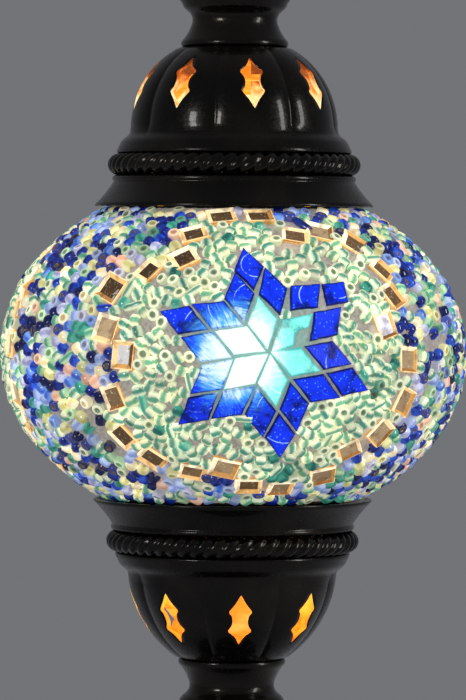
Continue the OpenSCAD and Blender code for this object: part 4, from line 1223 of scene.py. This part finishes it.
green_line = (rgb(236, 238, 204), rgb(88, 150, 124))
inside_palette = [green_line, (rgb(246, 242, 200), rgb(110, 172, 132)),
                  (rgb(224, 232, 200), rgb(66, 134, 114)), (rgb(58, 140, 120), rgb(22, 92, 84)), (rgb(120, 190, 160), rgb(60, 150, 130))]
ground_palette = [(rgb(24, 52, 150), rgb(8, 22, 100)), (rgb(40, 84, 196), rgb(14, 44, 150)),
                  (rgb(10, 22, 82), rgb(6, 12, 60)), green_line, (rgb(190, 222, 176), rgb(84, 160, 128)),
                  (rgb(244, 240, 184), rgb(214, 206, 130)), (rgb(250, 244, 210), rgb(240, 214, 160)),
                  (rgb(176, 192, 226), rgb(130, 150, 206)), (rgb(208, 210, 232), rgb(160, 160, 200)),
                  (rgb(84, 170, 150), rgb(40, 130, 110)), (rgb(246, 206, 178), rgb(228, 170, 140)),
                  (rgb(120, 160, 226), rgb(60, 100, 200))]


def bead_glass(name, glow):
    r = Recipe(name)
    across = r.painted("from_core").outputs["Fac"]
    # Painted shade: at a lying bead's sides and a standing bead's outer wall, where it meets the plaster, the
    # colour is half mixed toward the darker core, which draws an outline.
    edge = r.sum("MULTIPLY", r.step(across, 0.84, 1.0), 0.5)
    blur = r.sum("SUBTRACT", r.noise(0.35, 2).outputs[0], 0.5)
    across = r.sum("ADD", across, r.sum("MULTIPLY", blur, 0.7))
    core, body = r.painted("core").outputs["Color"], r.painted("body").outputs["Color"]
    colour = r.mix(edge, r.mix(r.step(across, 0.12, 0.72), core, body), core)
    height = r.add("SeparateXYZ", Vector=r.point()).outputs[2]
    away = r.sum("ABSOLUTE", r.sum("SUBTRACT", height, globe_z / mm))
    cloud = r.noise(0.05, 2).outputs[0]
    light = r.sum("MULTIPLY", r.step(away, 12.0, 56.0, 1.0, 0.74), r.step(cloud, 0.35, 0.7, 0.82, 1.18))
    r.join(colour, r.shader.inputs["Base Color"])
    r.join(colour, r.shader.inputs["Emission Color"])
    r.join(r.sum("MULTIPLY", light, glow), r.shader.inputs["Emission Strength"])
    r.set(Roughness=0.13, Specular_IOR_Level=0.6, Coat_Weight=0.4, Coat_Roughness=0.05)
    r.bump(r.noise(0.9, 2).outputs[0], 0.12, 0.0003)
    return r.material


green_beads = bead_batch("beads_round_stars", np.flatnonzero(inside_ring), 21, inside_palette,
                         [50, 22, 18, 5, 5])
green_beads.data.materials.append(bead_glass("green_lined_beads", 0.66))
settle(green_beads, "globe", "green_beads", "bead_field_medallions")
mixed_beads = bead_batch("beads_of_ground", np.flatnonzero(~inside_ring), 22, ground_palette,
                         [17, 9, 8, 14, 12, 9, 8, 9, 7, 6, 5, 5])
mixed_beads.data.materials.append(bead_glass("mixed_beads", 0.56))
settle(mixed_beads, "globe", "mixed_beads", "bead_field_ground")

# %% [markdown]
# ## Plaster
# Grey plaster fills what is left. It stands higher between the star's tiles, where it is wiped
# flush, and lower between beads. The bulb's light coming through it is painted: warm patches
# scattered by noise, a teal glow beside the tiles near each star's middle, and a glow over all of it.


# %% Plaster between the pieces
def plaster_skin():
    """Outside: the glass's ellipse raised by a height read from the distance to the tiles; inside:
    the same ellipse raised by almost nothing; joined at both ends."""
    rows, cols = 132, 420
    t_end = math.acos(42.2 * mm / face_a)
    t = np.linspace(-t_end, t_end, rows)
    phi = np.linspace(0, 2 * math.pi, cols, endpoint=False)
    tt, pp = np.repeat(t, cols), np.tile(phi, rows)
    face = np.stack([face_a * np.cos(tt) * np.sin(pp), -face_a * np.cos(tt) * np.cos(pp),
                     globe_z + face_b * np.sin(tt)], -1)
    u, v, star = unroll(face)
    far, _, tiles = off_pieces(u, v, star)
    draw = np.random.default_rng(3)
    lump = draw.normal(0, 0.09, len(u)) * mm
    flush = np.clip(1 - (tiles - 0.6 * mm) / (2.0 * mm), 0, 1)
    chip_edge = np.clip(1 - (far - 0.2 * mm) / (2.0 * mm), 0, 1) * 0.62
    lift = 1.75 * mm + 1.35 * mm * np.maximum(flush, chip_edge) + lump

    def shell(raised):
        a, b = globe_a + raised, globe_b + raised
        return np.stack([a * np.cos(tt) * np.sin(pp), -a * np.cos(tt) * np.cos(pp),
                         globe_z + b * np.sin(tt)], -1)

    points = np.vstack([shell(lift), shell(np.full(len(u), 0.05 * mm))])
    outer = grid_faces(rows, cols, wrap_cols=True)
    inner = outer[:, ::-1] + rows * cols
    j = np.arange(cols)
    j2, top, half = (j + 1) % cols, (rows - 1) * cols, rows * cols
    ends = [np.stack([j2, j, j + half, j2 + half], -1),
            np.stack([top + j, top + j2, top + j2 + half, top + j + half], -1)]
    made = mesh_object("plaster_bed", points, [outer, inner] + ends)
    near_bulb = np.clip(1.35 - np.hypot(u / mm + 4, v / mm) / 26, 0, 1)
    near_bulb = near_bulb * np.clip(1 - tiles / (1.5 * mm), 0, 1)
    paint_points(made, "near_bulb", np.concatenate([near_bulb, 0 * near_bulb]))
    return made


def plaster_finish():
    r = Recipe("lit_plaster")
    broad = r.noise(0.06, 3).outputs[0]
    fine = r.noise(0.8, 4, rough=0.6).outputs[0]
    colour = r.mix(r.step(fine, 0.3, 0.7), rgb(134, 126, 118), rgb(166, 158, 152))
    # Painted light: broad warm patches where the bulb shows through, then a teal glow beside the tiles near
    # each star's middle.
    colour = r.mix(r.step(broad, 0.56, 0.75, 0.0, 0.45), colour, rgb(255, 226, 182))
    colour = r.mix(r.sum("MULTIPLY", r.painted("near_bulb").outputs["Fac"], 0.75), colour, rgb(112, 176, 164))
    r.join(colour, r.shader.inputs["Base Color"])
    r.join(colour, r.shader.inputs["Emission Color"])
    r.set(Roughness=0.7, Emission_Strength=0.62)
    r.bump(fine, 0.5, 0.0004)
    return r.material


plaster = plaster_skin()
plaster.data.materials.append(plaster_finish())
settle(plaster, "globe", "plaster", "plaster_coat")

# %% [markdown]
# ## Inside the lamp
# The fittings keep the engineering model's shapes: a steel yoke across the globe, a lamp holder
# with a filament bulb, leads, nuts and washers, and in the foot a plate, a cast ring and a
# terminal block. They are seen through the caps' openings and when the lamp is taken apart,
# so each has its own finish, and those near the bulb carry some of its warm light.


# %% Finishes of the fittings
def finish(name, light, dark, scale, rough, metal=0.0, glow=0.0, brushed=False, bump=0.15):
    """A fitting's surface: two tones mixed by unevenness of one size, with its own roughness."""
    r = Recipe(name)
    where = r.point()
    if brushed:
        where = r.add("VectorMath", {"operation": "MULTIPLY"}, i0=where, i1=(1.0, 1.0, 9.0)).outputs[0]
    uneven = r.noise(scale, 4, where).outputs[0]
    fine = r.noise(scale * 5, 3, where).outputs[0]
    colour = r.mix(r.step(uneven, 0.35, 0.68), dark, light)
    r.join(colour, r.shader.inputs["Base Color"])
    r.join(r.step(fine, 0.3, 0.7, rough - 0.06, rough + 0.12), r.shader.inputs["Roughness"])
    r.set(Metallic=metal)
    if glow:
        r.join(colour, r.shader.inputs["Emission Color"])
        height = r.add("SeparateXYZ", Vector=r.point()).outputs[2]
        lit_top = (globe_z + cap_top) / mm
        r.join(r.step(height, lit_top - 4.0, lit_top, glow, 0.0), r.shader.inputs["Emission Strength"])
    r.bump(fine, bump, 0.0002)
    return r.material


def dress(material, *nodes):
    """Gives carried-over pieces their finish; the meshes and their places stay as they are."""
    for node in nodes:
        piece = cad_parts[node]
        piece.data.materials.clear()
        piece.data.materials.append(material)


dress(finish("zinc_steel", rgb(176, 176, 180), rgb(120, 120, 126), 0.25, 0.32, 1.0, brushed=True),
      "base_screws", "foot_washer", "foot_nut", "threaded_rod", "terminal_screws",
      "finial_washer")
dress(finish("lit_steel", rgb(250, 176, 66), rgb(232, 138, 34), 0.12, 0.4, 0.3, glow=0.75, brushed=True),
      "bulb_yoke", "cup_washer", "cup_nut", "stud_nuts", "cap_stud")
dress(finish("lit_moulding", rgb(246, 190, 96), rgb(228, 150, 50), 0.15, 0.5, glow=0.7), "holder_body")
dress(finish("holder_porcelain", rgb(240, 232, 214), rgb(222, 208, 182), 0.1, 0.3, glow=0.3), "holder_insert")
dress(finish("brass_parts", rgb(214, 170, 84), rgb(160, 118, 50), 0.3, 0.28, 1.0),
      "holder_shell", "holder_contact", "bulb_cap", "bulb_contact")
dress(finish("cast_iron", rgb(66, 66, 70), rgb(40, 40, 43), 0.35, 0.65, 0.6, bump=0.5), "ballast_ring")
dress(finish("plate_steel", rgb(96, 94, 92), rgb(62, 60, 58), 0.2, 0.45, 0.9, brushed=True), "base_plate")
dress(finish("black_rubber", rgb(34, 34, 36), rgb(20, 20, 22), 0.6, 0.75, bump=0.3),
      "lower_seal", "upper_seal")
dress(finish("bush_moulding", rgb(36, 34, 34), rgb(22, 21, 21), 0.5, 0.45), "cord_bush")
dress(finish("cream_moulding", rgb(226, 220, 202), rgb(206, 198, 178), 0.2, 0.5), "terminal_block")
dress(finish("brown_lead", rgb(120, 66, 36), rgb(84, 44, 24), 0.5, 0.4), "lead_live")
dress(finish("blue_lead", rgb(52, 92, 190), rgb(30, 60, 140), 0.5, 0.4), "lead_neutral")
dress(finish("black_glass", rgb(30, 30, 36), rgb(14, 14, 18), 0.4, 0.15), "bulb_insulator")
dress(finish("hot_filament", rgb(255, 214, 140), rgb(255, 180, 90), 0.5, 0.4, glow=6.0), "bulb_filaments")


def felt():
    """Felt is matted wool: fine fibres in every direction and a soft edge to its colour."""
    r = Recipe("green_felt")
    fibres = r.noise(2.4, 6, rough=0.75).outputs[0]
    clumps = r.noise(0.25, 3).outputs[0]
    colour = r.mix(r.step(fibres, 0.3, 0.7), rgb(20, 52, 36), rgb(52, 96, 72))
    colour = r.mix(r.step(clumps, 0.4, 0.7, 0.0, 0.5), colour, rgb(30, 66, 50))
    r.join(colour, r.shader.inputs["Base Color"])
    r.set(Roughness=0.95, Sheen_Weight=0.6, Sheen_Roughness=0.5)
    r.bump(fibres, 0.8, 0.0005)
    return r.material


dress(felt(), "felt_pad")


def clear_glass(name, tint, glow, through):
    """Thin clear glass: light passes it, and a little of the bulb's light stays in it."""
    r = Recipe(name)
    cloud = r.noise(0.04, 3).outputs[0]
    colour = r.mix(r.step(cloud, 0.3, 0.7), tint, tuple(min(1.0, 1.12 * c) for c in tint[:3]) + (1,))
    r.join(colour, r.shader.inputs["Base Color"])
    r.join(colour, r.shader.inputs["Emission Color"])
    r.join(r.step(cloud, 0.3, 0.7, 0.05, 0.12), r.shader.inputs["Roughness"])
    r.set(Transmission_Weight=through, IOR=1.45, Emission_Strength=glow)
    return r.material


dress(clear_glass("blown_glass", rgb(226, 238, 232), 0.22, 0.6), "globe_glass")
dress(clear_glass("bulb_envelope", rgb(255, 240, 214), 0.35, 0.75), "bulb_glass")
